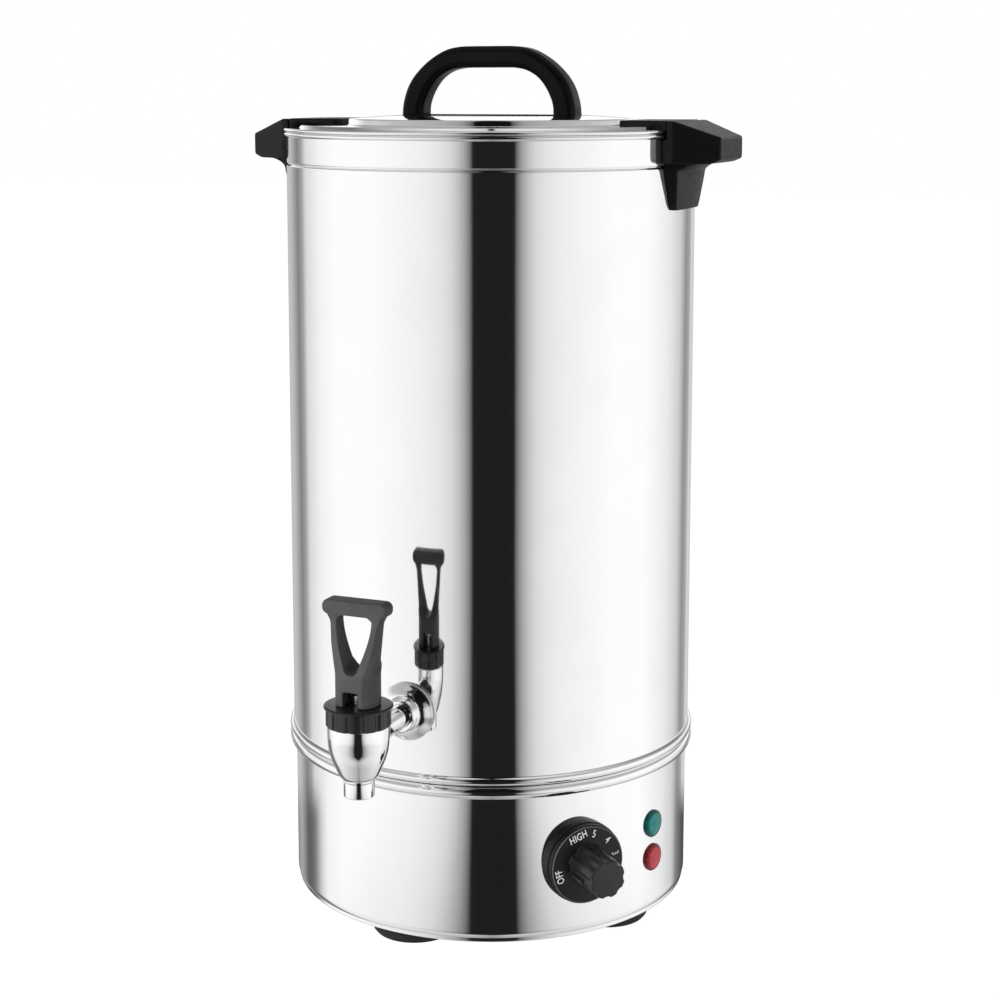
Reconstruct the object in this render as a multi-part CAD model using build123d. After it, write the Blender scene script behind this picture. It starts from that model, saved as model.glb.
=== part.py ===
"""Hot water urn: a stainless tank on a heated base, with a lift-off lid and a lever tap.

Millimetres, +Z up. The origin is on the urn's axis, on the surface that the feet stand on.
The tap points along -Y and the two side handles along -X and +X. An angle on the wall is
counted from the tap towards +X. Each node is written to parts/NODE.step.
"""
import os
from math import cos, radians, sin, sqrt, tan

from build123d import *

# ---- sheet metal ----
SHEET = 1.0                    # thickness of every stainless sheet
BODY_R = 135.0                 # tank wall, outside
SKIRT_STEP = 1.5               # base skirt's wall inside the tank's
BEAD_PROUD = 2.7               # both beads at the seam, outside the tank's wall
RIM_PROUD = 2.0                # rolled rims of the tank and the lid
FOOT_DROP = 11.0               # floor to the skirt's edge
SKIRT_WALL_H = 94.7            # skirt's edge to its bead
SKIRT_BEAD_H = 8.8
BODY_BEAD_H = 6.0
BODY_WALL_H = 376.5            # tank's bead to the groove under the collar
COLLAR_H = 17.5                # groove to the rolled rim
RIM_H = 3.0
GROOVE_DEPTH = 0.8
GROOVE_HALF_H = 1.3
FLOOR_RISE = 3.5               # tank floor above the tank's bead
FLOOR_T = 1.4
FLOOR_CORNER_R = 8.0
SKIRT_FLANGE_W = 8.5           # inward flanges of the skirt, inside its wall

# ---- lid ----
LID_RIM_H = 2.5
LID_PLUG_H = 9.5               # skirt of the lid that hangs in the tank's mouth
LID_PLUG_GAP = 0.6
PLATEAU_IN = 9.0               # tank's wall to the lid's flat step
PLATEAU_RISE = 1.9
DISC_IN = 40.2                 # tank's wall to the raised middle of the lid
DISC_RISE = 4.1
DOME_RISE = 2.0
DOME_FLAT_R = 66.0             # flat top that the handle stands on
STEP_RUN = 1.4                 # how far the lid's steps slope

# ---- lid handle ----
GRIP_HALF_L = 63.2
GRIP_FOOT_HALF_L = 61.8
GRIP_H = 47.0
GRIP_BAR_T = 14.0
GRIP_DEPTH = 20.0
GRIP_LEG_T = 14.2
GRIP_BASE_T = 2.0
GRIP_EDGE_R = 4.0
GRIP_WAIST_X = 58.1            # points on the outer curve of a leg, from the foot up
GRIP_WAIST_H = 17.4
GRIP_BEND_X = 47.1
GRIP_BEND_H = 30.6
GRIP_TOP_HALF_L = 20.0         # flat top of the bar
GAP_BEND_X = 40.5              # point on the inner curve, between leg and bar
GAP_BEND_DROP = 7.4            # below the bar
GAP_TOP_HALF_L = 22.0
GRIP_SCREW_L = 13.5

# ---- side handles and the lid's lugs ----
HANDLE_REACH = 30.0            # tank's wall to the outer face
HANDLE_HALF_W = 35.9           # at the ridge over the rim
HANDLE_OUT_HALF_W = 24.7       # at the outer face
HANDLE_TOP_RISE = 8.0          # ridge above the tank's mouth
HANDLE_FACE_DROP = 10.1        # ridge to the top of the outer face
HANDLE_UNDER_DROP = 26.5       # ridge to the underside of the grip
HANDLE_LENGTH = 56.0           # ridge to the foot of the tongue
TONGUE_HALF_W = 27.0           # outer face of the tongue
TONGUE_FOOT_HALF_W = 20.0
TONGUE_CORNER_R = 7.0
TONGUE_FOOT_T = 4.5            # how far the tongue stands off the wall at its foot
TONGUE_ROOT_T = 10.5           # and under the grip
TONGUE_DRAFT = 19.0            # degrees, on the tongue's sides
HANDLE_COVE_R = 8.0
HANDLE_LIP = 3.0               # chamfer under the grip's outer face
HANDLE_EDGE_R = 1.0            # round edges of the grip's outer end
HANDLE_BACK = 8.0              # how far the uncut form reaches inside the tank's wall
HANDLE_SCREW_RISE = 20.0       # tongue's foot to the screws
HANDLE_SCREW_Y = 15.0          # half the distance between the two screws
HANDLE_SCREW_BITE = 7.0
HANDLE_SEAT = 0.1              # between the handle and the tank wall
RIM_GAP = 0.35                 # between the handle and the rolled rims
LUG_IN = 36.6                  # tank's wall to the lug's inner edge
LUG_IN_HALF_W = 28.0
LUG_H = 3.8                    # above the plateau
LUG_CORNER_R = 5.0
LUG_GAP = 0.1                  # between the lug and the lid's slopes, and inside the rim
LUG_SCREW_IN = 13.0            # lug's inner edge to its screws
LUG_SCREW_Y = 14.0
LUG_SCREW_L = 4.0
LUG_EDGE = 0.6

# ---- tap ----
TAP_OUT = 68.0                 # tank's wall to the spout's axis
TAP_Z = 160.0                  # shank's axis above the floor
SHANK_R = 7.7
SHANK_BORE_R = 5.5
SHANK_INSIDE = 17.0            # length inside the wall's outer face
SPOUT_R = 9.3
SPOUT_BORE_R = 6.5
SPOUT_DROP = 32.0              # shank's axis to the spout's mouth
SPOUT_H = 9.5                  # straight end of the spout
SPOUT_STEP = 0.4
SEAT_DROP = 13.0               # shank's axis to the valve seat
BOWL_TOP_RISE = 12.0           # shank's axis to the bonnet's lower edge
BOWL_R = 18.6
BOWL_WAIST_R = 13.3            # at the valve seat
BOWL_SHOULDER_R = 16.6
BOWL_SHOULDER_DROP = 3.2       # shank's axis to the shoulder
BOWL_BORE_R = 14.2
BOWL_BORE_RISE = 7.0           # valve seat to the full bore
NECK_R = 16.0
NECK_H = 9.0
BONNET_R = 19.5
BONNET_LIP_R = 20.8
BONNET_H = 12.5
BONNET_LIP_H = 1.6
BONNET_TOP_T = 3.0
BONNET_FLUTES = 13
BONNET_FLUTE_R = 2.0
BONNET_FLUTE_OUT = 0.9         # flutes' centres outside the bonnet's side
FLANGE_R = 18.35
FLANGE_COLLAR_R = 10.6
FLANGE_COLLAR_H = 13.0
FLANGE_RIM_T = 0.9
FLANGE_SHOULDER_H = 5.2
FLANGE_SHOULDER_R = 9.0
SEAL_T = 1.5
INNER_SEAL_T = 2.4
TAP_NUT_AF = 24.0
TAP_NUT_H = 7.5

# ---- tap lever and valve ----
LEVER_R = 13.6                 # round block of the lever
LEVER_FLAT = 11.2              # its front and rear flats, from the spout's axis
LEVER_LIFT = 0.3               # block above the bonnet
FULCRUM_R = 1.0                # round front edge that the lever rocks on
LEVER_BLOCK_H = 15.0
LEVER_H = 63.0                 # block's foot to the top of the bar
LEVER_BAR_L = 42.0
LEVER_BAR_H = 9.0
LEVER_BAR_D = 11.0
LEVER_BAR_CORNER_R = 4.0
LEVER_BAR_EDGE_R = 1.6
LEVER_NECK_IN = 1.3            # narrowing just above the block
LEVER_NECK_H = 5.0
LEVER_BACK_H = 9.0             # slope from the block's flats to the loop
LEVER_LOOP_HALF_W = 16.0       # loop just under the bar, outside
LEVER_LOOP_HALF_GAP = 11.4     # and inside
LEVER_LOOP_FOOT_GAP = 4.6      # radius of the gap's round foot
LEVER_LOOP_D = 10.4            # loop's depth at the bar
LEVER_CONE_R = 18.0            # cone that rounds the loop's corners, at the bar
LEVER_GAP_RISE = 1.0           # block to the gap's foot
LEVER_GAP_WAIST = 9.8          # half the gap, part of the way down
LEVER_GAP_WAIST_DROP = 16.0    # below the bar
LEVER_GAP_CORNER = 2.7
NOTCH_HALF_W = 5.0
NOTCH_H = 8.4
STEM_R = 3.0
STEM_HEAD_R = 4.0
STEM_HEAD_H = 5.7
PIN_R = 1.4
PIN_HALF_L = 10.0
PIN_RISE = 4.0                 # pin above the lever's foot
LEVER_TRAVEL = 30.0            # degrees
PIN_PLAY = 0.6                 # above and below the pin in the lever's slot
PIN_END_GAP = 0.4              # at the pin's ends and at the slot's
CUP_SEAT_R = 9.0               # flat valve seat in the tap's body
CUP_R = 8.6
CUP_FOOT_R = 8.2
CUP_TOP_R = 7.2                # the spring stands on it
CUP_H = 11.0
CUP_SLOPE = 2.0
CUP_FLOOR_T = 3.0
SPRING_R = 6.4
SPRING_WIRE_R = 0.6
SPRING_TURNS = 6

# ---- control dial ----
DIAL_ANGLE = 48.0
DIAL_Z = 61.2
BEZEL_R = 26.2
BEZEL_H = 5.0
BEZEL_RECESS_R = 21.0
BEZEL_RECESS = 2.4
DIAL_R = 25.6
DIAL_GAP = 0.4
DIAL_H = 4.1
DIAL_BEVEL = 1.2
KNOB_R = 13.6
KNOB_TIP_R = 12.6
KNOB_H = 27.0
KNOB_FLUTES = 8
KNOB_FLUTE_R = 4.2
KNOB_FLUTE_OUT = 2.6           # flutes' centres outside the grip
KNOB_TIP_EDGE = 1.8
RIB_ANGLE = 104.0              # pointer rib, anticlockwise from the top
RIB_W = 3.4
RIB_PROUD = 0.9                # outside the grip
RIB_L = 17.5
SPINDLE_R = 3.0
SPINDLE_IN = 16.0              # behind the skirt
SPINDLE_OUT = 30.0             # in front of it

# ---- lamps ----
LAMP_ANGLE = 75.0
LAMP_ZS = {"green_lamp_lens": 70.4, "red_lamp_lens": 47.5}
LENS_R = 9.3
LENS_BEZEL_H = 1.6
LENS_DOME_R = 7.7
LENS_DOME_H = 1.4
LENS_H = 4.6
LAMP_BODY_R = 6.0
LAMP_BODY_L = 24.0
LAMP_TAIL_R = 4.0
LAMP_TAIL_L = 6.0
LAMP_NUT_AF = 16.0
LAMP_NUT_H = 3.1

# ---- base ----
BASE_GAP = 0.3                 # base plate inside the skirt
FOOT_R = 26.0
FOOT_TIP_R = 24.5
FOOT_IN = 36.5                 # skirt's wall to the centre of a foot
FOOT_START = -8.0              # angle of the first foot
FOOT_SPREAD = 83.0             # angle to the next one
FOOT_RECESS_R = 6.0
FOOT_RECESS_H = 6.0
FOOT_NUT_AF = 7.0
ROD_R = 2.5
ROD_IN = 15.5                  # skirt's wall to a rod
ROD_ANGLE = 33.0
ROD_NUT_AF = 8.0
ROD_NUT_H = 4.0
VENT_COUNT = 12
VENT_L = 22.0
VENT_W = 4.0
VENT_IN = 81.5                 # skirt's wall to the middle of a vent

# ---- electrics ----
SPREADER_IN = 50.0             # tank's wall to the spreader's edge
SPREADER_T = 4.0
ELEMENT_IN = 23.0              # spreader's edge to the middle of the tube
ELEMENT_TUBE_R = 4.2
ELEMENT_GAP_ANGLE = 40.0       # open part of the ring, in degrees
ELEMENT_LEG = 24.0
ELEMENT_PIN_R = 1.5
ELEMENT_PIN_L = 9.0
THERMOSTAT_W = 36.0
THERMOSTAT_H = 44.0
THERMOSTAT_D = 20.0
THERMOSTAT_CORNER_R = 3.0
THERMOSTAT_SCREW = 14.0        # from the spindle
THERMOSTAT_SCREW_BITE = 8.0
SENSOR_R = 3.0
SENSOR_L = 50.0
CAPILLARY_R = 0.9
CAPILLARY_BEND_R = 7.0
CAPILLARY_TAIL = 16.0          # last bend to the sensor
CUTOUT_ANGLE = 130.0
CUTOUT_IN = 58.5               # skirt's wall to the cut-out's axis
CUTOUT_R = 11.0
CUTOUT_H = 21.0
BUTTON_R = 4.0
BUTTON_GAP = 0.2
BUTTON_PROUD = 2.4             # below the base plate
BUTTON_L = 10.0
BUTTON_TRAVEL = 2.0
TERMINAL_IN = 57.5             # skirt's wall to the middle of the block
TERMINAL_L = 44.0
TERMINAL_W = 20.0
TERMINAL_H = 16.0
TERMINAL_PITCH = 13.0
TERMINAL_BORE_R = 3.4
TERMINAL_BORE_H = 4.0
TERMINAL_SCREW_R = 2.8
TERMINAL_SCREW_H = 2.4
GLAND_ANGLE = 180.0
GLAND_Z = 38.0
GLAND_BORE_R = 4.0
GLAND_NECK_R = 8.0
GLAND_FLANGE_R = 11.5
GLAND_FLANGE_H = 3.2
GLAND_DOME_R = 9.4             # foot of the gland's tapered nose
GLAND_OUT = 13.0
GLAND_IN = 10.0
GLAND_NUT_AF = 19.0
GLAND_NUT_H = 4.5

# ---- fits and fixings ----
FIT = 0.05                     # radial clearance of a turning or threaded fit
HOLE_GAP = 0.2                 # radial clearance of a fixing in its hole
OVERLAP = 1.0                  # how far two forms run into each other where they are joined
EDGE = 0.8                     # small chamfers and fillets
M3_R = 1.5                     # shanks
M4_R = 2.1
M5_R = 2.4
M3_HEAD_R = 3.0                # pan heads
M4_HEAD_R = 3.6
M5_HEAD_R = 4.4
M3_HEAD_H = 1.8
M4_HEAD_H = 1.8
M5_HEAD_H = 2.6
HOLE_SPARE = 0.5               # a blind hole beyond the end of its screw
NUT_H = 3.2

# ---- heights above the floor, and radii from the urn's axis ----
Z_EDGE = FOOT_DROP
Z_BASE = Z_EDGE + SHEET        # underside of the base plate
Z_SKIRT_BEAD = Z_EDGE + SKIRT_WALL_H
Z_SEAM = Z_SKIRT_BEAD + SKIRT_BEAD_H
Z_BODY = Z_SEAM + BODY_BEAD_H
Z_FLOOR = Z_BODY + FLOOR_RISE
Z_GROOVE = Z_BODY + BODY_WALL_H
Z_RIM = Z_GROOVE + COLLAR_H
Z_MOUTH = Z_RIM + RIM_H
Z_LID_RIM = Z_MOUTH + LID_RIM_H
Z_PLATEAU = Z_LID_RIM + PLATEAU_RISE
Z_DISC = Z_PLATEAU + DISC_RISE
Z_DOME = Z_DISC + DOME_RISE
Z_RIDGE = Z_MOUTH + HANDLE_TOP_RISE
Z_BONNET = TAP_Z + BOWL_TOP_RISE
Z_BONNET_TOP = Z_BONNET + BONNET_H
Z_FULCRUM = Z_BONNET_TOP + LEVER_LIFT
Z_SEAT = TAP_Z - SEAT_DROP
Z_SPREADER = Z_FLOOR - FLOOR_T - SPREADER_T

SKIRT_R = BODY_R - SKIRT_STEP
BEAD_R = BODY_R + BEAD_PROUD
RIM_R = BODY_R + RIM_PROUD
PLATEAU_R = BODY_R - PLATEAU_IN
DISC_R = BODY_R - DISC_IN
HANDLE_OUT_R = BODY_R + HANDLE_REACH
LUG_IN_R = BODY_R - LUG_IN
TAP_REACH = BODY_R + TAP_OUT
FOOT_CENTRE_R = SKIRT_R - FOOT_IN
ROD_CENTRE_R = SKIRT_R - ROD_IN
VENT_CENTRE_R = SKIRT_R - VENT_IN
CUTOUT_CENTRE_R = SKIRT_R - CUTOUT_IN
TERMINAL_Y = SKIRT_R - TERMINAL_IN
SPREADER_R = BODY_R - SPREADER_IN
ELEMENT_R = SPREADER_R - ELEMENT_IN
TANK_IN_R = BODY_R - SHEET
SKIRT_IN_R = SKIRT_R - SHEET
FLANGE_IN_R = SKIRT_IN_R - SKIRT_FLANGE_W
FOOT_ANGLES = [FOOT_START, FOOT_START + FOOT_SPREAD,
               FOOT_START + 180, FOOT_START + FOOT_SPREAD + 180]
ROD_ANGLES = [ROD_ANGLE + 90 * quarter for quarter in range(4)]


# ---- shared forms ----
def turned(*edges):
    """Solid turned about +Z from a closed outline given as (radius, height) edges."""
    return revolve(Plane.XZ * make_face(Curve() + list(edges)), Axis.Z)


def ring(outer, inner, low, high):
    """Plain ring or, with no inner radius, a disc, from one height to another."""
    solid = Pos(0, 0, low) * extrude(Circle(outer), high - low)
    return solid - Pos(0, 0, low) * extrude(Circle(inner), high - low) if inner else solid


def through(radius):
    """Cutter for a hole through one wall or sheet at z = 0."""
    return ring(radius, 0, -5 * SHEET, 5 * SHEET)


def hexagon_nut(across_flats, bore, low, high):
    body = Pos(0, 0, low) * extrude(RegularPolygon(across_flats / sqrt(3), 6), high - low)
    return body - ring(bore, 0, low, high)


def screw(shank_r, head_r, head_h, length):
    """Pan head below z = 0 and shank above it."""
    head = fillet(ring(head_r, 0, -head_h, 0).edges().group_by(Axis.Z)[0], head_h * 0.4)
    return head + ring(shank_r, 0, 0, length)


def at(angle, radius, height=0.0):
    """Point at an angle from the tap, a radius and a height."""
    return Vector(radius * sin(radians(angle)), -radius * cos(radians(angle)), height)


def wall(angle, height, radius):
    """Plane that touches a wall: local z points outward, local y up."""
    outward = at(angle, 1.0)
    return Plane(at(angle, radius, height), x_dir=(-outward.Y, outward.X, 0), z_dir=outward)


def wall_sag(outer_r, inner_r, half_width):
    """How far behind a round wall's outer face a flat part of that half width seats inside it."""
    return outer_r - sqrt(inner_r ** 2 - half_width ** 2) + FIT


def outside(solid, radius):
    """What lies outside an upright wall of that radius, so that the piece seats on it."""
    box = solid.bounding_box()
    return solid - ring(radius, 0, box.min.Z - 1, box.max.Z + 1)


def joined(pieces):
    """Several separate solids in one node."""
    return Compound(children=[piece for piece in pieces])


# ---- tank, skirt and base ----
def make_tank():
    rim_centre = RIM_R - RIM_H / 2
    low, high = Z_GROOVE - GROOVE_HALF_H, Z_GROOVE + GROOVE_HALF_H
    tank = turned(
        Line((0, Z_FLOOR), (TANK_IN_R - FLOOR_CORNER_R, Z_FLOOR)),
        RadiusArc((TANK_IN_R - FLOOR_CORNER_R, Z_FLOOR),
                  (TANK_IN_R, Z_FLOOR + FLOOR_CORNER_R), -FLOOR_CORNER_R),
        Line((TANK_IN_R, Z_FLOOR + FLOOR_CORNER_R), (TANK_IN_R, low)),
        ThreePointArc((TANK_IN_R, low), (TANK_IN_R - GROOVE_DEPTH, Z_GROOVE), (TANK_IN_R, high)),
        Polyline((TANK_IN_R, high), (TANK_IN_R, Z_MOUTH), (rim_centre, Z_MOUTH)),
        ThreePointArc((rim_centre, Z_MOUTH), (RIM_R, Z_MOUTH - RIM_H / 2), (rim_centre, Z_RIM)),
        Polyline((rim_centre, Z_RIM), (BODY_R, Z_RIM), (BODY_R, high)),
        ThreePointArc((BODY_R, high), (BODY_R - GROOVE_DEPTH, Z_GROOVE), (BODY_R, low)),
        Line((BODY_R, low), (BODY_R, Z_BODY)),
        ThreePointArc((BODY_R, Z_BODY), (BEAD_R, Z_SEAM + BODY_BEAD_H / 2), (BODY_R, Z_SEAM)),
        Polyline((BODY_R, Z_SEAM), (TANK_IN_R, Z_SEAM), (TANK_IN_R, Z_FLOOR - FLOOR_T),
                 (0, Z_FLOOR - FLOOR_T), (0, Z_FLOOR)),
    )
    tank -= wall(0, TAP_Z, BODY_R) * through(SHANK_R + HOLE_GAP)
    for place in handle_screw_places():
        tank -= place * through(M5_R + HOLE_GAP)
    return tank


def make_skirt():
    skirt = turned(
        RadiusArc((SKIRT_R - SHEET, Z_EDGE), (SKIRT_R, Z_EDGE + SHEET), -SHEET),
        Line((SKIRT_R, Z_EDGE + SHEET), (SKIRT_R, Z_SKIRT_BEAD)),
        ThreePointArc((SKIRT_R, Z_SKIRT_BEAD), (BEAD_R, Z_SKIRT_BEAD + SKIRT_BEAD_H / 2),
                      (SKIRT_R, Z_SEAM)),
        Polyline((SKIRT_R, Z_SEAM), (FLANGE_IN_R, Z_SEAM), (FLANGE_IN_R, Z_SEAM - SHEET),
                 (SKIRT_IN_R, Z_SEAM - SHEET), (SKIRT_IN_R, Z_BASE), (FLANGE_IN_R, Z_BASE),
                 (FLANGE_IN_R, Z_EDGE), (SKIRT_R - SHEET, Z_EDGE)),
    )
    dial = wall(DIAL_ANGLE, DIAL_Z, SKIRT_R)
    skirt -= dial * through(SPINDLE_R + 2 * HOLE_GAP)
    for side in (-1, 1):
        skirt -= dial * Pos(side * THERMOSTAT_SCREW) * through(M4_R + HOLE_GAP)
    for height in LAMP_ZS.values():
        skirt -= wall(LAMP_ANGLE, height, SKIRT_R) * through(LAMP_BODY_R + HOLE_GAP)
    return skirt - wall(GLAND_ANGLE, GLAND_Z, SKIRT_R) * through(GLAND_NECK_R + HOLE_GAP)


def make_base_plate():
    plate = ring(SKIRT_IN_R - BASE_GAP, 0, Z_BASE, Z_BASE + SHEET)
    for angle in FOOT_ANGLES:
        plate -= Pos(at(angle, FOOT_CENTRE_R, Z_BASE)) * through(M4_R + HOLE_GAP)
    for angle in ROD_ANGLES:
        plate -= Pos(at(angle, ROD_CENTRE_R, Z_BASE)) * through(ROD_R + HOLE_GAP)
    plate -= Pos(at(CUTOUT_ANGLE, CUTOUT_CENTRE_R, Z_BASE)) * through(BUTTON_R + 2 * HOLE_GAP)
    vent = extrude(SlotOverall(VENT_L, VENT_W), 2 * Z_BASE)
    for vent_place in PolarLocations(VENT_CENTRE_R, VENT_COUNT):
        plate -= vent_place * vent
    return plate


def make_foot():
    edge = FOOT_R - FOOT_TIP_R
    return turned(
        Line((FOOT_RECESS_R, 0), (FOOT_TIP_R - edge, 0)),
        RadiusArc((FOOT_TIP_R - edge, 0), (FOOT_TIP_R, edge), -edge),
        Polyline((FOOT_TIP_R, edge), (FOOT_R, Z_BASE), (M4_R + HOLE_GAP, Z_BASE),
                 (M4_R + HOLE_GAP, FOOT_RECESS_H), (FOOT_RECESS_R, FOOT_RECESS_H),
                 (FOOT_RECESS_R, 0)),
    )


def at_each_foot(piece):
    return joined([Pos(at(angle, FOOT_CENTRE_R)) * piece for angle in FOOT_ANGLES])


def make_foot_screws():
    length = Z_BASE + SHEET + NUT_H + EDGE - FOOT_RECESS_H
    return at_each_foot(Pos(0, 0, FOOT_RECESS_H) * screw(M4_R, M5_HEAD_R, M5_HEAD_H, length))


def make_foot_nuts():
    plate_top = Z_BASE + SHEET
    return at_each_foot(hexagon_nut(FOOT_NUT_AF, M4_R + FIT, plate_top, plate_top + NUT_H))


def make_tie_rods():
    rod = ring(ROD_R, 0, Z_BASE - ROD_NUT_H - EDGE, Z_FLOOR - FLOOR_T)
    return joined([Pos(at(angle, ROD_CENTRE_R)) * rod for angle in ROD_ANGLES])


def make_tie_rod_nuts():
    nut = hexagon_nut(ROD_NUT_AF, ROD_R + FIT, Z_BASE - ROD_NUT_H, Z_BASE)
    return joined([Pos(at(angle, ROD_CENTRE_R)) * nut for angle in ROD_ANGLES])


# ---- side handles ----
def handle_screw_places():
    """Planes on the tank wall's outer face for the screws of both side handles."""
    height = Z_RIDGE - HANDLE_LENGTH + HANDLE_SCREW_RISE
    for side in (-1, 1):
        for offset in (-HANDLE_SCREW_Y, HANDLE_SCREW_Y):
            start = Vector(side * sqrt(BODY_R ** 2 - offset ** 2), offset, height)
            yield Plane(start, x_dir=(0, side, 0), z_dir=(side, 0, 0))


def make_side_handle():
    """Handle on the +X side: a sloping grip over the rims and a tongue down the wall."""
    z_foot = Z_RIDGE - HANDLE_LENGTH
    z_under = Z_RIDGE - HANDLE_UNDER_DROP
    z_face = Z_RIDGE - HANDLE_FACE_DROP
    inner = BODY_R - HANDLE_BACK
    root = BODY_R + TONGUE_ROOT_T
    side_view = make_face(Curve() + [
        Polyline((inner, z_foot), (BODY_R + TONGUE_FOOT_T, z_foot), (root, z_under - HANDLE_COVE_R)),
        RadiusArc((root, z_under - HANDLE_COVE_R), (root + HANDLE_COVE_R, z_under), HANDLE_COVE_R),
        Polyline((root + HANDLE_COVE_R, z_under), (HANDLE_OUT_R - HANDLE_LIP, z_under),
                 (HANDLE_OUT_R, z_under + HANDLE_LIP), (HANDLE_OUT_R, z_face),
                 (RIM_R + RIM_GAP, Z_RIDGE), (inner, Z_RIDGE), (inner, z_foot)),
    ])
    body = extrude(Plane.XZ * side_view, 2 * HANDLE_HALF_W, both=True)
    plan = make_face(Polyline(
        (inner, -HANDLE_HALF_W), (RIM_R, -HANDLE_HALF_W), (HANDLE_OUT_R, -HANDLE_OUT_HALF_W),
        (HANDLE_OUT_R, HANDLE_OUT_HALF_W), (RIM_R, HANDLE_HALF_W), (inner, HANDLE_HALF_W),
        close=True))
    grip = Pos(0, 0, z_under) * extrude(plan, HANDLE_UNDER_DROP)
    face_at = Plane((root, 0, 0), x_dir=(0, 1, 0), z_dir=(1, 0, 0))
    outline = make_face(Polyline(
        (-TONGUE_FOOT_HALF_W, z_foot), (TONGUE_FOOT_HALF_W, z_foot),
        (TONGUE_HALF_W, z_under + OVERLAP), (-TONGUE_HALF_W, z_under + OVERLAP), close=True))
    outline = fillet(outline.vertices().group_by(Axis.Y)[0], TONGUE_CORNER_R)
    tongue = extrude(face_at * outline, -(root - inner), taper=-TONGUE_DRAFT)
    tongue += extrude(face_at * outline, HANDLE_COVE_R)
    handle = (body & grip) + (body & tongue)
    seat = ring(BODY_R + HANDLE_SEAT, 0, z_foot - OVERLAP, Z_RIM)
    slot = ring(RIM_R + RIM_GAP, 0, Z_RIM - RIM_GAP, Z_RIDGE + OVERLAP)
    handle = handle - seat - slot
    outer_edges = [edge for edge in handle.edges()
                   if edge.center().X > root + HANDLE_LIP and edge.center().Z > z_under - FIT]
    return fillet(outer_edges, HANDLE_EDGE_R)


def make_side_handles():
    """Left and right handle, with the holes that their screws bite into."""
    right = make_side_handle()
    left = Rot(0, 0, 180) * right
    for place in handle_screw_places():
        hole = place * ring(M5_R + FIT, 0, -HANDLE_BACK, HANDLE_SCREW_BITE + HOLE_SPARE)
        if place.origin.X > 0:
            right -= hole
        else:
            left -= hole
    return left, right


def make_handle_screws():
    """Screws from inside the tank, their heads flat against its round wall."""
    face = sqrt(BODY_R ** 2 - HANDLE_SCREW_Y ** 2)
    sag = face - sqrt(TANK_IN_R ** 2 - (HANDLE_SCREW_Y + M5_HEAD_R) ** 2) + FIT
    one = Pos(0, 0, -sag) * screw(M5_R, M5_HEAD_R, M5_HEAD_H, sag + HANDLE_SCREW_BITE)
    return joined([place * one for place in handle_screw_places()])


# ---- lid ----
def make_lid():
    rim_centre = RIM_R - LID_RIM_H / 2
    plug_r = TANK_IN_R - LID_PLUG_GAP
    lean = STEP_RUN / 2             # the underside follows the top, one sheet lower
    lid = turned(
        Polyline((0, Z_DOME), (DOME_FLAT_R, Z_DOME), (DISC_R, Z_DISC),
                 (DISC_R + STEP_RUN, Z_PLATEAU), (PLATEAU_R, Z_PLATEAU),
                 (PLATEAU_R + STEP_RUN, Z_LID_RIM), (rim_centre, Z_LID_RIM)),
        ThreePointArc((rim_centre, Z_LID_RIM), (RIM_R, Z_LID_RIM - LID_RIM_H / 2),
                      (rim_centre, Z_MOUTH)),
        Polyline((rim_centre, Z_MOUTH), (plug_r, Z_MOUTH), (plug_r, Z_MOUTH - LID_PLUG_H),
                 (plug_r - SHEET, Z_MOUTH - LID_PLUG_H), (plug_r - SHEET, Z_LID_RIM - SHEET),
                 (PLATEAU_R + lean, Z_LID_RIM - SHEET), (PLATEAU_R - lean, Z_PLATEAU - SHEET),
                 (DISC_R + lean, Z_PLATEAU - SHEET), (DISC_R - lean, Z_DISC - SHEET),
                 (DOME_FLAT_R, Z_DOME - SHEET), (0, Z_DOME - SHEET), (0, Z_DOME)),
    )
    for place in lug_screw_places() + lid_handle_screw_places():
        lid -= place * through(M5_R + HOLE_GAP)
    return lid


def lug_screw_places():
    return [Pos(side * (LUG_IN_R + LUG_SCREW_IN), offset, Z_PLATEAU - SHEET)
            for side in (-1, 1) for offset in (-LUG_SCREW_Y, LUG_SCREW_Y)]


def lid_handle_screw_places():
    across = (GRIP_FOOT_HALF_L + GRIP_HALF_L) / 2 - GRIP_LEG_T / 2
    return [Pos(side * across, 0, Z_DOME - SHEET) for side in (-1, 1)]


def arch_face(*leg):
    """Upright face of an arch, from the points of its right leg: foot first, flat top last."""
    right = Spline(*leg, tangents=((0, 1), (-1, 0)))
    left = mirror(right, about=Plane.YZ)
    return Plane.XZ * make_face(Curve() + [
        right, Line(right @ 1, left @ 1), left, Line(left @ 0, right @ 0)])


def make_lid_handle():
    gap_half = GRIP_HALF_L - GRIP_LEG_T
    gap_h = GRIP_H - GRIP_BAR_T
    half = GRIP_DEPTH / 2
    outer = arch_face((GRIP_FOOT_HALF_L, 0), (GRIP_WAIST_X, GRIP_WAIST_H), (GRIP_BEND_X, GRIP_BEND_H),
                      (GRIP_TOP_HALF_L, GRIP_H))
    inner = arch_face((gap_half, GRIP_BASE_T), (GAP_BEND_X, gap_h - GAP_BEND_DROP),
                      (GAP_TOP_HALF_L, gap_h))
    arch = extrude(outer, half, both=True) - extrude(inner, GRIP_DEPTH, both=True)
    long_edges = [edge for edge in arch.edges()
                  if abs(edge.center().Y) > half - FIT and edge.center().Z > GRIP_BASE_T + OVERLAP]
    grip = Pos(0, 0, Z_DOME) * fillet(long_edges, GRIP_EDGE_R)
    for place in lid_handle_screw_places():
        grip -= place * ring(M5_R + FIT, 0, 0, GRIP_SCREW_L + HOLE_SPARE)
    return grip


def make_lid_handle_screws():
    one = screw(M5_R, M5_HEAD_R, M5_HEAD_H, GRIP_SCREW_L)
    return joined([place * one for place in lid_handle_screw_places()])


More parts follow.
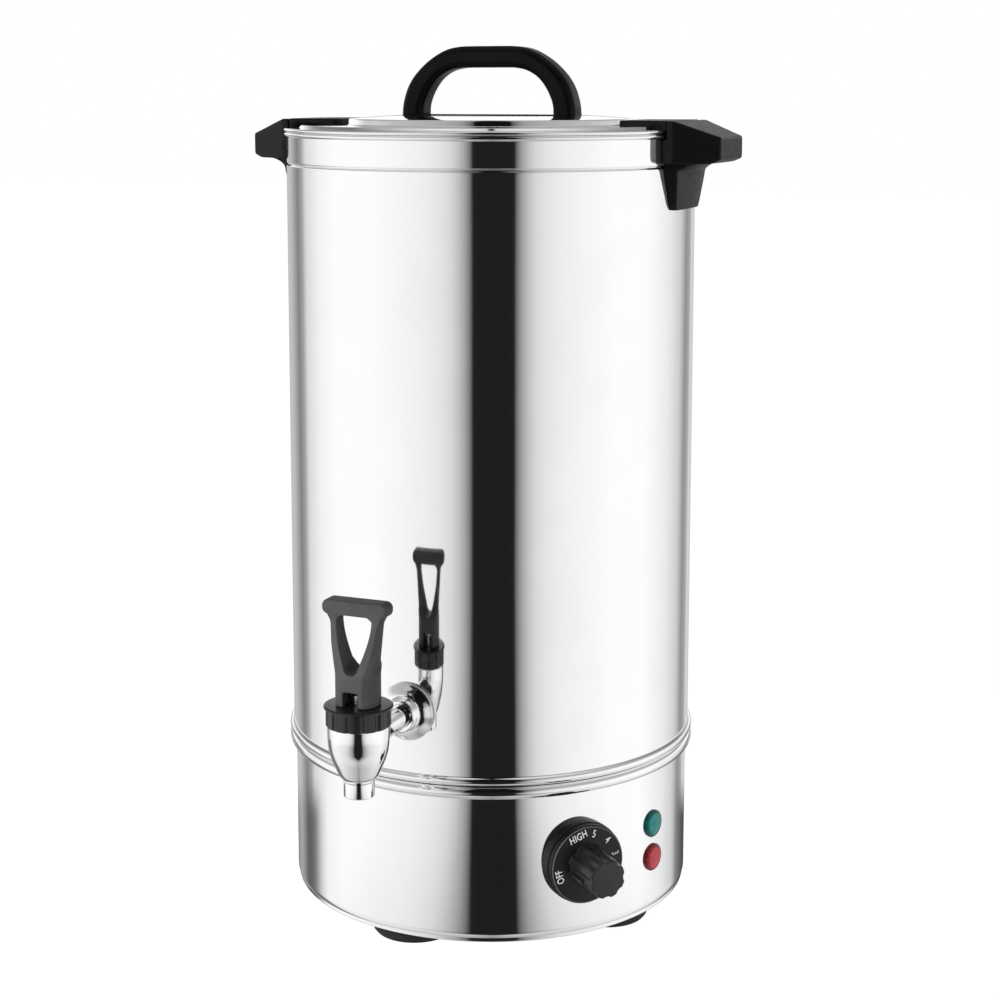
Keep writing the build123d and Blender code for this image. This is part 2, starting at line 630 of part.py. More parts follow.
def make_lid_lug():
    """Flat lug on the +X side that fills the step of the lid up to the side handle."""
    outer = RIM_R + HANDLE_BACK
    plan = make_face(Polyline(
        (LUG_IN_R, -LUG_IN_HALF_W), (RIM_R, -HANDLE_HALF_W), (outer, -HANDLE_HALF_W),
        (outer, HANDLE_HALF_W), (RIM_R, HANDLE_HALF_W), (LUG_IN_R, LUG_IN_HALF_W), close=True))
    plan = fillet(plan.vertices().group_by(Axis.X)[0], LUG_CORNER_R)
    lug = Pos(0, 0, Z_LID_RIM) * extrude(plan, PLATEAU_RISE + LUG_H)
    lug &= ring(RIM_R - LUG_GAP, 0, Z_LID_RIM, Z_RIDGE + OVERLAP)
    slope_top = PLATEAU_R + LUG_GAP
    slope_foot = slope_top + STEP_RUN
    lug -= turned(Polyline((0, Z_LID_RIM - OVERLAP), (slope_foot, Z_LID_RIM - OVERLAP),
                           (slope_foot, Z_LID_RIM), (slope_top, Z_PLATEAU), (0, Z_PLATEAU),
                           (0, Z_LID_RIM - OVERLAP)))
    lug = chamfer(lug.edges().group_by(Axis.Z)[-1], LUG_EDGE)
    for place in lug_screw_places():
        lug -= place * ring(M3_R + FIT, 0, 0, LUG_SCREW_L + FIT)
    return lug


def make_lid_lugs():
    right = make_lid_lug()
    return Rot(0, 0, 180) * right, right


def make_lug_screws():
    one = screw(M3_R, M3_HEAD_R, M3_HEAD_H, LUG_SCREW_L)
    return joined([place * one for place in lug_screw_places()])


# ---- tap ----
def at_spout(piece):
    return Pos(0, -TAP_REACH, 0) * piece


def make_tap_body():
    z_mouth = TAP_Z - SPOUT_DROP
    z_neck = z_mouth + SPOUT_H
    bowl = turned(
        Line((0, z_mouth), (SPOUT_R - EDGE, z_mouth)),
        RadiusArc((SPOUT_R - EDGE, z_mouth), (SPOUT_R, z_mouth + EDGE), -EDGE),
        Polyline((SPOUT_R, z_mouth + EDGE), (SPOUT_R, z_neck), (SPOUT_R - SPOUT_STEP, z_neck + SPOUT_STEP)),
        Spline((SPOUT_R - SPOUT_STEP, z_neck + SPOUT_STEP), (BOWL_WAIST_R, Z_SEAT),
               (BOWL_SHOULDER_R, TAP_Z - BOWL_SHOULDER_DROP), (BOWL_R, Z_BONNET)),
        Polyline((BOWL_R, Z_BONNET), (NECK_R, Z_BONNET), (NECK_R, Z_BONNET + NECK_H),
                 (0, Z_BONNET + NECK_H), (0, z_mouth)),
    )
    shank_face = wall(0, TAP_Z, BODY_R)
    reach = TAP_REACH - BODY_R
    body = at_spout(bowl) + shank_face * ring(SHANK_R, 0, -SHANK_INSIDE, reach)
    body -= shank_face * ring(SHANK_BORE_R, 0, -SHANK_INSIDE, reach)
    hollow = turned(Polyline(
        (0, z_mouth), (SPOUT_BORE_R, z_mouth), (SPOUT_BORE_R, Z_SEAT), (CUP_SEAT_R, Z_SEAT),
        (BOWL_BORE_R, Z_SEAT + BOWL_BORE_RISE), (BOWL_BORE_R, Z_BONNET + NECK_H), (0, Z_BONNET + NECK_H),
        (0, z_mouth)))
    return body - at_spout(hollow)


def make_tap_flange():
    """Escutcheon on its seal: rim, rounded shoulder and a collar round the shank."""
    bore = SHANK_R + FIT
    rim = SEAL_T + FLANGE_RIM_T
    shoulder = SEAL_T + FLANGE_SHOULDER_H
    foot = FLANGE_COLLAR_R + EDGE
    flange = turned(
        Polyline((bore, SEAL_T), (FLANGE_R, SEAL_T), (FLANGE_R, rim)),
        RadiusArc((FLANGE_R, rim), (foot, shoulder), -FLANGE_SHOULDER_R),
        Polyline((foot, shoulder), (FLANGE_COLLAR_R, FLANGE_COLLAR_H - EDGE),
                 (FLANGE_COLLAR_R - EDGE, FLANGE_COLLAR_H), (bore, FLANGE_COLLAR_H), (bore, SEAL_T)),
    )
    return wall(0, TAP_Z, BODY_R) * flange


def make_tap_outer_seal():
    seal = wall(0, TAP_Z, BODY_R) * ring(FLANGE_R - EDGE, SHANK_R + FIT, -3 * SEAL_T, SEAL_T)
    return outside(seal, BODY_R + FIT)


def make_tap_inner_seal():
    """Flat behind, where the nut bears, and round in front, where it meets the tank."""
    seal = wall(0, TAP_Z, TANK_IN_R) * ring(TAP_NUT_AF / 2 + EDGE, SHANK_R + FIT, -INNER_SEAL_T, SEAL_T)
    return seal & ring(TANK_IN_R - FIT, 0, TAP_Z - FLANGE_R, TAP_Z + FLANGE_R)


def make_tap_nut():
    nut = hexagon_nut(TAP_NUT_AF, SHANK_R + FIT, -INNER_SEAL_T - TAP_NUT_H, -INNER_SEAL_T)
    return wall(0, TAP_Z, TANK_IN_R) * nut


def make_tap_bonnet():
    flutes = PolarLocations(BONNET_R + BONNET_FLUTE_OUT, BONNET_FLUTES) * Circle(BONNET_FLUTE_R)
    side = Circle(BONNET_R) - flutes
    bonnet = Pos(0, 0, Z_BONNET) * extrude(side, BONNET_H - BONNET_LIP_H)
    bonnet += ring(BONNET_LIP_R, 0, Z_BONNET_TOP - BONNET_LIP_H, Z_BONNET_TOP)
    bonnet -= ring(NECK_R + FIT, 0, Z_BONNET, Z_BONNET_TOP - BONNET_TOP_T)
    bonnet -= ring(STEM_R + HOLE_GAP, 0, Z_BONNET, Z_BONNET_TOP)
    return at_spout(bonnet)


def make_tap_lever():
    """Round block with flats, tapering loop and cross bar, on the spout's axis."""
    z_bar = Z_FULCRUM + LEVER_H - LEVER_BAR_H
    z_block = Z_FULCRUM + LEVER_BLOCK_H
    neck_r = LEVER_R - LEVER_NECK_IN
    loop_half_d = LEVER_LOOP_D / 2
    front_half = [(0, Z_FULCRUM), (LEVER_R, Z_FULCRUM), (LEVER_R, z_block),
                  (neck_r, z_block + LEVER_NECK_H), (LEVER_LOOP_HALF_W, z_bar + OVERLAP),
                  (0, z_bar + OVERLAP), (0, Z_FULCRUM)]
    front = make_face(Polyline(*front_half))
    front += mirror(front, about=Plane.YZ)
    fulcrum_start = (-LEVER_FLAT, Z_FULCRUM + FULCRUM_R)
    fulcrum_end = (-LEVER_FLAT + FULCRUM_R, Z_FULCRUM)
    side = make_face(Curve() + [
        RadiusArc(fulcrum_start, fulcrum_end, -FULCRUM_R),
        Polyline(fulcrum_end, (LEVER_FLAT, Z_FULCRUM), (LEVER_FLAT, z_block),
                 (loop_half_d, z_block + LEVER_BACK_H), (loop_half_d, z_bar + OVERLAP),
                 (-loop_half_d, z_bar + OVERLAP), (-LEVER_FLAT, z_block), fulcrum_start)])
    loop = extrude(Plane.XZ * front, LEVER_R, both=True)
    loop &= extrude(Plane.YZ * side, 2 * LEVER_R, both=True)
    loop &= turned(Polyline((0, Z_FULCRUM), (LEVER_R, Z_FULCRUM), (LEVER_R, z_block),
                            (LEVER_CONE_R, z_bar + OVERLAP), (0, z_bar + OVERLAP), (0, Z_FULCRUM)))
    loop -= extrude(Plane.XZ * lever_gap(z_block + LEVER_GAP_RISE, z_bar), 2 * LEVER_R, both=True)
    bar_face = Plane((0, 0, z_bar + LEVER_BAR_H / 2), x_dir=(1, 0, 0), z_dir=(0, -1, 0))
    bar = extrude(bar_face * RectangleRounded(LEVER_BAR_L, LEVER_BAR_H, LEVER_BAR_CORNER_R),
                  LEVER_BAR_D / 2, both=True)
    ends = [edge for edge in bar.edges() if abs(edge.center().Y) > LEVER_BAR_D / 2 - FIT]
    lever = loop + fillet(ends, LEVER_BAR_EDGE_R)
    lever -= Pos(0, 0, Z_FULCRUM) * Box(2 * NOTCH_HALF_W, 4 * LEVER_FLAT, NOTCH_H,
                                        align=(Align.CENTER, Align.CENTER, Align.MIN))
    return at_spout(lever - make_pin_slot())


def lever_gap(z_foot, z_bar):
    """Front view of the gap in the loop: a round foot that widens up to the bar."""
    z_foot_centre = z_foot + LEVER_LOOP_FOOT_GAP
    z_side = z_bar - LEVER_GAP_CORNER
    side = Spline((LEVER_LOOP_FOOT_GAP, z_foot_centre),
                  (LEVER_GAP_WAIST, z_bar - LEVER_GAP_WAIST_DROP), (LEVER_LOOP_HALF_GAP, z_side),
                  tangents=((0.35, 1), (0, 1)))
    other = mirror(side, about=Plane.YZ)
    corner = LEVER_LOOP_HALF_GAP - LEVER_GAP_CORNER
    return make_face(Curve() + [
        ThreePointArc(other @ 0, (0, z_foot), side @ 0), side,
        Polyline(side @ 1, (corner, z_bar), (-corner, z_bar), other @ 1), other])


def make_pin_slot():
    """Blind slot across the lever's cheeks: as the lever tilts, the pin runs to its rear."""
    tilt = radians(LEVER_TRAVEL)
    arm = LEVER_FLAT - FULCRUM_R
    run = arm * cos(tilt) + (PIN_RISE - FULCRUM_R + stem_travel()) * sin(tilt) - arm
    slot = Box(2 * (PIN_HALF_L + PIN_END_GAP), run + 2 * (PIN_R + PIN_END_GAP), 2 * (PIN_R + PIN_PLAY))
    return Pos(0, run / 2, Z_FULCRUM + PIN_RISE) * slot


def stem_travel():
    """Rise of the pin that keeps it level in the lever's slot at full tilt."""
    tilt = radians(LEVER_TRAVEL)
    arm = LEVER_FLAT - FULCRUM_R
    return arm * tan(tilt) + (PIN_RISE - FULCRUM_R) * (1 / cos(tilt) - 1)


def make_plunger_stem():
    z_head = Z_FULCRUM + LEVER_LIFT
    head = ring(STEM_HEAD_R, 0, z_head, z_head + STEM_HEAD_H)
    head = fillet(head.edges().group_by(Axis.Z)[-1], EDGE)
    cross = Rot(0, 90, 0) * ring(PIN_R + FIT, 0, -2 * STEM_HEAD_R, 2 * STEM_HEAD_R)
    stem = ring(STEM_R, 0, Z_SEAT + CUP_FLOOR_T, z_head + OVERLAP)
    return at_spout(stem + head - Pos(0, 0, Z_FULCRUM + PIN_RISE) * cross)


def make_plunger_pin():
    pin = Rot(0, 90, 0) * ring(PIN_R, 0, -PIN_HALF_L, PIN_HALF_L)
    return at_spout(Pos(0, 0, Z_FULCRUM + PIN_RISE) * pin)


def make_seat_cup():
    top = Z_SEAT + CUP_H
    cup = turned(Polyline(
        (0, Z_SEAT), (CUP_FOOT_R, Z_SEAT), (CUP_R, Z_SEAT + CUP_SLOPE), (CUP_R, top - CUP_SLOPE),
        (CUP_TOP_R, top), (0, top), (0, Z_SEAT)))
    return at_spout(cup - ring(STEM_R + FIT, 0, Z_SEAT + CUP_FLOOR_T, top))


def make_plunger_spring():
    low = Z_SEAT + CUP_H + SPRING_WIRE_R
    high = Z_BONNET_TOP - BONNET_TOP_T - SPRING_WIRE_R
    radius = SPRING_R - SPRING_WIRE_R
    path = Helix((high - low) / SPRING_TURNS, high - low, radius)
    wire = sweep(Plane(origin=path @ 0, z_dir=path % 0) * Circle(SPRING_WIRE_R), path)
    return at_spout(Pos(0, 0, low) * wire)


# ---- control dial ----
def make_dial_bezel():
    back = SKIRT_R - sqrt(SKIRT_R ** 2 - BEZEL_R ** 2) + OVERLAP
    bezel = ring(BEZEL_R, SPINDLE_R + 2 * HOLE_GAP, -back, BEZEL_H)
    bezel = chamfer(bezel.edges().group_by(Axis.Z)[-1].sort_by(SortBy.RADIUS)[-1], EDGE)
    bezel -= ring(BEZEL_RECESS_R, 0, -back, BEZEL_RECESS)
    return outside(wall(DIAL_ANGLE, DIAL_Z, SKIRT_R) * bezel, SKIRT_R + FIT)


def make_control_knob():
    base = BEZEL_H + DIAL_GAP
    face = base + DIAL_H
    skirt = turned(Polyline(
        (0, base), (DIAL_R, base), (DIAL_R, face - DIAL_BEVEL), (DIAL_R - DIAL_BEVEL, face),
        (0, face), (0, base)))
    flutes = PolarLocations(KNOB_R + KNOB_FLUTE_OUT, KNOB_FLUTES) * Circle(KNOB_FLUTE_R)
    grip = Pos(0, 0, face) * extrude(Circle(KNOB_R) - flutes, KNOB_H)
    tip = face + KNOB_H
    draft = turned(Polyline(
        (0, face), (KNOB_R, face), (KNOB_TIP_R, tip - KNOB_TIP_EDGE),
        (KNOB_TIP_R - KNOB_TIP_EDGE, tip), (0, tip), (0, face)))
    knob = skirt + (grip & draft) + make_pointer_rib(face)
    knob -= ring(SPINDLE_R + FIT / 2, 0, base, SPINDLE_OUT + HOLE_SPARE)
    return wall(DIAL_ANGLE, DIAL_Z, SKIRT_R) * knob


def make_pointer_rib(face):
    """Rib along the grip that points at a mark on the dial."""
    reach = KNOB_R + RIB_PROUD
    rib = Pos(0, reach / 2, 0) * Rectangle(RIB_W, reach)
    rib = fillet(rib.vertices().group_by(Axis.Y)[-1], EDGE)
    rib = Pos(0, 0, face) * extrude(rib, RIB_L)
    rib = fillet(rib.edges().group_by(Axis.Z)[-1].sort_by(Axis.Y)[-1], EDGE)
    return Rot(0, 0, RIB_ANGLE) * rib


def make_thermostat_spindle():
    return wall(DIAL_ANGLE, DIAL_Z, SKIRT_R) * ring(SPINDLE_R, 0, -SPINDLE_IN, SPINDLE_OUT)


# ---- lamps ----
def on_each_lamp(piece):
    return joined([wall(LAMP_ANGLE, height, SKIRT_R) * piece for height in LAMP_ZS.values()])


def make_lamp_lens(height):
    """Stepped lens with a shallow dome, hollowed behind to sit on the round skirt."""
    shoulder = LENS_H - LENS_DOME_H
    dome_r = (LENS_DOME_R ** 2 + LENS_DOME_H ** 2) / (2 * LENS_DOME_H)
    stepped = turned(Polyline((0, -1), (LENS_R, -1), (LENS_R, LENS_BEZEL_H), (LENS_DOME_R, shoulder),
                              (LENS_DOME_R, LENS_H), (0, LENS_H), (0, -1)))
    lens = stepped & Pos(0, 0, LENS_H - dome_r) * Sphere(dome_r)
    return outside(wall(LAMP_ANGLE, height, SKIRT_R) * lens, SKIRT_R + FIT)


def make_lamp_bodies():
    body = ring(LAMP_BODY_R, 0, -LAMP_BODY_L, -2 * FIT)
    return on_each_lamp(body + ring(LAMP_TAIL_R, 0, -LAMP_BODY_L - LAMP_TAIL_L, -LAMP_BODY_L))


def make_lamp_nuts():
    face = -wall_sag(SKIRT_R, SKIRT_IN_R, LAMP_NUT_AF / sqrt(3))
    return on_each_lamp(hexagon_nut(LAMP_NUT_AF, LAMP_BODY_R + FIT, face - LAMP_NUT_H, face))


# ---- heater and controls ----
def make_heat_spreader():
    disc = ring(SPREADER_R, 0, Z_SPREADER, Z_FLOOR - FLOOR_T)
    return chamfer(disc.edges().group_by(Axis.Z)[0], EDGE)


def make_heating_element():
    """Open ring of tube under the spreader, with a cold leg down at each end."""
    height = Z_SPREADER - ELEMENT_TUBE_R
    start = ELEMENT_GAP_ANGLE / 2
    section = Plane.XZ * Pos(ELEMENT_R, height) * Circle(ELEMENT_TUBE_R)
    tube = Rot(0, 0, start) * revolve(section, Axis.Z, 360 - ELEMENT_GAP_ANGLE)
    for end in (start, -start):
        place = Rot(0, 0, end) * Pos(ELEMENT_R, 0, height)
        tube += place * Sphere(ELEMENT_TUBE_R)
        tube += place * ring(ELEMENT_TUBE_R, 0, -ELEMENT_LEG, 0)
        tube += place * ring(ELEMENT_PIN_R, 0, -ELEMENT_LEG - ELEMENT_PIN_L, -ELEMENT_LEG)
    return tube


def thermostat_front():
    """How far behind the skirt's outer face the thermostat's flat front lies."""
    return wall_sag(SKIRT_R, SKIRT_IN_R, THERMOSTAT_W / 2)


def make_thermostat_body():
    front = -thermostat_front()
    body = Pos(0, 0, front) * Box(THERMOSTAT_W, THERMOSTAT_H, THERMOSTAT_D,
                                  align=(Align.CENTER, Align.CENTER, Align.MAX))
    body = fillet(body.edges().filter_by(Axis.Z), THERMOSTAT_CORNER_R)
    body -= ring(SPINDLE_R + FIT, 0, -SPINDLE_IN - HOLE_SPARE, 0)
    for side in (-1, 1):
        hole = ring(M4_R + FIT, 0, front - THERMOSTAT_SCREW_BITE - HOLE_SPARE, front)
        body -= Pos(side * THERMOSTAT_SCREW) * hole
    return wall(DIAL_ANGLE, DIAL_Z, SKIRT_R) * body


def make_thermostat_screws():
    """Heads outside the skirt, hidden by the bezel's recess."""
    length = thermostat_front() + THERMOSTAT_SCREW_BITE
    one = Rot(180, 0, 0) * screw(M4_R, M4_HEAD_R, M4_HEAD_H, length)
    return joined([wall(DIAL_ANGLE, DIAL_Z, SKIRT_R) * Pos(side * THERMOSTAT_SCREW) * one
                   for side in (-1, 1)])


def sensor(angle, *route):
    """Capillary along a route and then round the axis, with its sensor rod at the end."""
    along = at(angle + 90, 1.0)
    tail = route[-1] + along * CAPILLARY_TAIL
    path = FilletPolyline(*route, tail, radius=CAPILLARY_BEND_R)
    tube = sweep(Plane(origin=path @ 0, z_dir=path % 0) * Circle(CAPILLARY_R), path)
    return tube + Plane(tail, z_dir=along) * ring(SENSOR_R, 0, 0, SENSOR_L)


def make_thermostat_sensor():
    """Out of the thermostat's rear, up, and then along the underside of the tank's floor."""
    rear_r = SKIRT_R - thermostat_front() - THERMOSTAT_D
    rise_r = rear_r - 2 * CAPILLARY_BEND_R
    return sensor(DIAL_ANGLE, at(DIAL_ANGLE, rear_r, DIAL_Z), at(DIAL_ANGLE, rise_r, DIAL_Z),
                  at(DIAL_ANGLE, rise_r, Z_FLOOR - FLOOR_T - SENSOR_R))


def make_cutout_body():
    low = Z_BASE + SHEET
    body = ring(CUTOUT_R, 0, low, low + CUTOUT_H)
    body = chamfer(body.edges().group_by(Axis.Z)[-1], EDGE)
    bore_top = Z_BASE - BUTTON_PROUD + BUTTON_L + BUTTON_TRAVEL + HOLE_SPARE
    body -= ring(BUTTON_R + BUTTON_GAP, 0, low, bore_top)
    return Pos(at(CUTOUT_ANGLE, CUTOUT_CENTRE_R)) * body


def make_reset_button():
    low = Z_BASE - BUTTON_PROUD
    button = ring(BUTTON_R, 0, low, low + BUTTON_L)
    button = fillet(button.edges().group_by(Axis.Z)[0], EDGE)
    return Pos(at(CUTOUT_ANGLE, CUTOUT_CENTRE_R)) * button


def make_cutout_sensor():
    """Up from the cut-out, and then along the underside of the heat spreader."""
    return sensor(CUTOUT_ANGLE, at(CUTOUT_ANGLE, CUTOUT_CENTRE_R, Z_BASE + SHEET + CUTOUT_H),
                  at(CUTOUT_ANGLE, CUTOUT_CENTRE_R, Z_SPREADER - SENSOR_R))


def terminal_places():
    """Bottoms of the three screw wells in the terminal block."""
    z_well = Z_BASE + SHEET + TERMINAL_H - TERMINAL_BORE_H
    return [Pos(pole * TERMINAL_PITCH, TERMINAL_Y, z_well) for pole in (-1, 0, 1)]


def make_terminal_block():
    block = Pos(0, TERMINAL_Y, Z_BASE + SHEET) * Box(
        TERMINAL_L, TERMINAL_W, TERMINAL_H, align=(Align.CENTER, Align.CENTER, Align.MIN))
    block = chamfer(block.edges().filter_by(Axis.Z), EDGE)
    for place in terminal_places():
        block -= place * ring(TERMINAL_BORE_R, 0, 0, TERMINAL_BORE_H)
    return block


def make_terminal_screws():
    return joined([place * ring(TERMINAL_SCREW_R, 0, 0, TERMINAL_SCREW_H) for place in terminal_places()])


def make_cable_gland():
    gland = turned(
        Polyline((GLAND_BORE_R, -GLAND_IN), (GLAND_NECK_R, -GLAND_IN), (GLAND_NECK_R, FIT),
                 (GLAND_FLANGE_R, FIT), (GLAND_FLANGE_R, GLAND_FLANGE_H),
                 (GLAND_DOME_R, GLAND_FLANGE_H + EDGE), (GLAND_NECK_R, GLAND_OUT - EDGE),
                 (GLAND_NECK_R - EDGE, GLAND_OUT),
                 (GLAND_BORE_R, GLAND_OUT), (GLAND_BORE_R, -GLAND_IN)),
    )
    return wall(GLAND_ANGLE, GLAND_Z, SKIRT_R) * gland


def make_gland_nut():
    """Behind the skirt, flat against its round wall."""
    face = -wall_sag(SKIRT_R, SKIRT_IN_R, GLAND_NUT_AF / sqrt(3))
    nut = hexagon_nut(GLAND_NUT_AF, GLAND_NECK_R + FIT, face - GLAND_NUT_H, face)
    return wall(GLAND_ANGLE, GLAND_Z, SKIRT_R) * nut


def make_parts():
    left_handle, right_handle = make_side_handles()
    left_lug, right_lug = make_lid_lugs()
    parts = {
        "tank": make_tank(),
        "base_skirt": make_skirt(),
        "base_plate": make_base_plate(),
        "rubber_feet": at_each_foot(make_foot()),
        "foot_screws": make_foot_screws(),
        "foot_nuts": make_foot_nuts(),
        "tie_rods": make_tie_rods(),
        "tie_rod_nuts": make_tie_rod_nuts(),
        "side_handle_left": left_handle,
        "side_handle_right": right_handle,
        "handle_screws": make_handle_screws(),
        "lid": make_lid(),
        "lid_handle": make_lid_handle(),
        "lid_handle_screws": make_lid_handle_screws(),
        "lid_lug_left": left_lug,
        "lid_lug_right": right_lug,
        "lug_screws": make_lug_screws(),
        "tap_body": make_tap_body(),
        "tap_flange": make_tap_flange(),
        "tap_outer_seal": make_tap_outer_seal(),
        "tap_inner_seal": make_tap_inner_seal(),
        "tap_nut": make_tap_nut(),
        "tap_bonnet": make_tap_bonnet(),
        "tap_lever": make_tap_lever(),
        "plunger_stem": make_plunger_stem(),
        "plunger_pin": make_plunger_pin(),
        "seat_cup": make_seat_cup(),
        "plunger_spring": make_plunger_spring(),
        "dial_bezel": make_dial_bezel(),
        "control_knob": make_control_knob(),
        "thermostat_spindle": make_thermostat_spindle(),
        "thermostat_body": make_thermostat_body(),
        "thermostat_screws": make_thermostat_screws(),
        "thermostat_sensor": make_thermostat_sensor(),
        "lamp_bodies": make_lamp_bodies(),
        "lamp_nuts": make_lamp_nuts(),
        "heat_spreader": make_heat_spreader(),
        "heating_element": make_heating_element(),
        "cutout_body": make_cutout_body(),
        "cutout_sensor": make_cutout_sensor(),
        "reset_button": make_reset_button(),
        "terminal_block": make_terminal_block(),
        "terminal_screws": make_terminal_screws(),
        "cable_gland": make_cable_gland(),
        "gland_nut": make_gland_nut(),
    }
    for name, height in LAMP_ZS.items():
        parts[name] = make_lamp_lens(height)
    return parts


os.makedirs("parts", exist_ok=True)
for node, shape in make_parts().items():
    export_step(shape, f"parts/{node}.step")
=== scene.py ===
from math import atan2, ceil, cos, degrees, hypot, pi, radians, sin, sqrt, tan

import bmesh
import bpy
from mathutils import Matrix, Vector


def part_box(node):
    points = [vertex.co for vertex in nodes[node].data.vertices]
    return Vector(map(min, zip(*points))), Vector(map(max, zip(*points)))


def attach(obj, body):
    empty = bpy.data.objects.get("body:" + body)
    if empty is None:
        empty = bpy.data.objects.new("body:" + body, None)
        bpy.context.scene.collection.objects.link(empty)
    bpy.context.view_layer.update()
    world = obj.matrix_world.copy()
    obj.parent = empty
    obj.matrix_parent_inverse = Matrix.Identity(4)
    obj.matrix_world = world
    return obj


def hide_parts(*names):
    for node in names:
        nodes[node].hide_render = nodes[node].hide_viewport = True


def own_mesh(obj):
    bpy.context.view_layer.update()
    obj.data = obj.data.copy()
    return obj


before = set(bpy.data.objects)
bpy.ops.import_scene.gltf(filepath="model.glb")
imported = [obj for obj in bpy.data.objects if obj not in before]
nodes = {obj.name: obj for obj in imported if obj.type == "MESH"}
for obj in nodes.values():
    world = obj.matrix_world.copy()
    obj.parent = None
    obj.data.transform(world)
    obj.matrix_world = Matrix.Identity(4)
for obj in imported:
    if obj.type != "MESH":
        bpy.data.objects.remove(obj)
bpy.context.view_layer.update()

# Lengths are in millimetres and angles in degrees. Angles round the urn run from the tap towards +X.
MM = 0.001

# ---- the urn's main sizes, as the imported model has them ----
BODY_R = 135.0
SKIRT_R = 133.5
BEAD_R = 137.7
RIM_R = 137.0
SHEET = 1.0
Z_EDGE = 11.0
Z_SKIRT_BEAD = 105.7
Z_SEAM = 114.5
Z_BODY = 120.5
Z_FLOOR = 124.0
Z_GROOVE = 497.0
Z_RIM = 514.5
Z_MOUTH = 517.5
Z_LID_RIM = 520.0
Z_PLATEAU = 521.9
Z_DISC = 526.0
Z_DOME = 528.0
PLATEAU_R = 126.0
DISC_R = 94.8
DOME_FLAT_R = 66.0
LID_PLUG_R = 133.4
TAP_Y = -203.0
TAP_Z = 160.0
DIAL_ANGLE = 48.0
DIAL_Z = (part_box("dial_bezel")[0][2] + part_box("dial_bezel")[1][2]) / 2 / MM
LAMP_ANGLE = 75.0
LAMP_HEIGHTS = {"green": 70.4, "red": 47.5}
GLAND_ANGLE = 180.0
GLAND_Z = 38.0
FOOT_ANGLES = (-8.0, 75.0, 172.0, 255.0)
FOOT_CENTRE_R = 97.0

# ---- camera ----
CAMERA_ANGLE = 22.78
CAMERA_DISTANCE = 1324.3
CAMERA_HEIGHT = 545.6
CAMERA_PITCH = 8.072
CAMERA_LENS = 71.47
CAMERA_SENSOR = 36
CAMERA_SHIFT = (0.009, -0.13)  # in picture widths
CAMERA_CLIP = 50               # metres


# ---- outlines ----
def rounded(points, steps=5, closed=False):
    """Outline with rounded corners: each point is (x, y) or (x, y, corner radius)."""
    out = []
    count = len(points)
    for i, point in enumerate(points):
        radius = point[2] if len(point) > 2 else 0.0
        end = not closed and i in (0, count - 1)
        if radius <= 0 or end:
            out.append((point[0], point[1]))
            continue
        here = Vector(point[:2])
        back = (Vector(points[i - 1][:2]) - here).normalized()
        ahead = (Vector(points[(i + 1) % count][:2]) - here).normalized()
        half = back.angle(ahead) / 2
        run = radius / tan(half)
        centre = here + (back + ahead).normalized() * (radius / sin(half))
        start = here + back * run - centre
        stop = here + ahead * run - centre
        turn = atan2(start.x * stop.y - start.y * stop.x, start.dot(stop))
        pieces = max(2, ceil(abs(degrees(turn)) / 90 * steps * 2))
        for k in range(pieces + 1):
            a = turn * k / pieces
            out.append((centre.x + start.x * cos(a) - start.y * sin(a),
                        centre.y + start.x * sin(a) + start.y * cos(a)))
    return out


def rounded_box(half_x, half_y, radius, steps=5):
    """Rectangle with rounded corners about the origin, anticlockwise."""
    return rounded([(-half_x, -half_y, radius), (half_x, -half_y, radius), (half_x, half_y, radius),
                    (-half_x, half_y, radius)], steps, closed=True)


def arc(cx, cy, radius, start, stop, steps=12):
    """Points along an arc, from one angle to another."""
    return [(cx + radius * cos(radians(start + (stop - start) * k / steps)),
             cy + radius * sin(radians(start + (stop - start) * k / steps))) for k in range(steps + 1)]


def roll(radius, low, high, proud):
    """Half-round bead on a wall, from its lower to its upper edge."""
    middle, half = (low + high) / 2, (high - low) / 2
    return [(radius + proud * cos(radians(a)), middle + half * sin(radians(a))) for a in range(-90, 91, 10)]


def pressed(radius, depth, middle, half, step):
    """Smooth groove in a wall: upward where the half width is positive, and downward where it's negative."""
    return [(radius - depth * 0.5 * (1 + cos(radians(a))), middle + half * a / 180)
            for a in range(-180, 181, step)]


def curve_through(points, steps=6):
    """Smooth points along a Catmull-Rom curve."""
    out = []
    last = len(points) - 1
    for i in range(last):
        p0, p1 = Vector(points[max(i - 1, 0)]), Vector(points[i])
        p2, p3 = Vector(points[i + 1]), Vector(points[min(i + 2, last)])
        if i == 0:
            p0 = 2 * p1 - p2
        if i + 2 > last:
            p3 = 2 * p2 - p1
        for k in range(steps):
            t = k / steps
            out.append(tuple(0.5 * ((2 * p1) + (p2 - p0) * t + (2 * p0 - 5 * p1 + 4 * p2 - p3) * t ** 2
                                    + (3 * p1 - p0 - 3 * p2 + p3) * t ** 3)))
    out.append(tuple(points[-1]))
    return out


def resampled(points, count):
    """Equally spaced points along a polyline."""
    steps = [hypot(b[0] - a[0], b[1] - a[1]) for a, b in zip(points, points[1:])]
    total, out, done, i = sum(steps), [points[0]], 0.0, 0
    for k in range(1, count - 1):
        target = total * k / (count - 1)
        while done + steps[i] < target:
            done += steps[i]
            i += 1
        t = (target - done) / steps[i]
        out.append(tuple(a + (b - a) * t for a, b in zip(points[i], points[i + 1])))
    return out + [points[-1]]


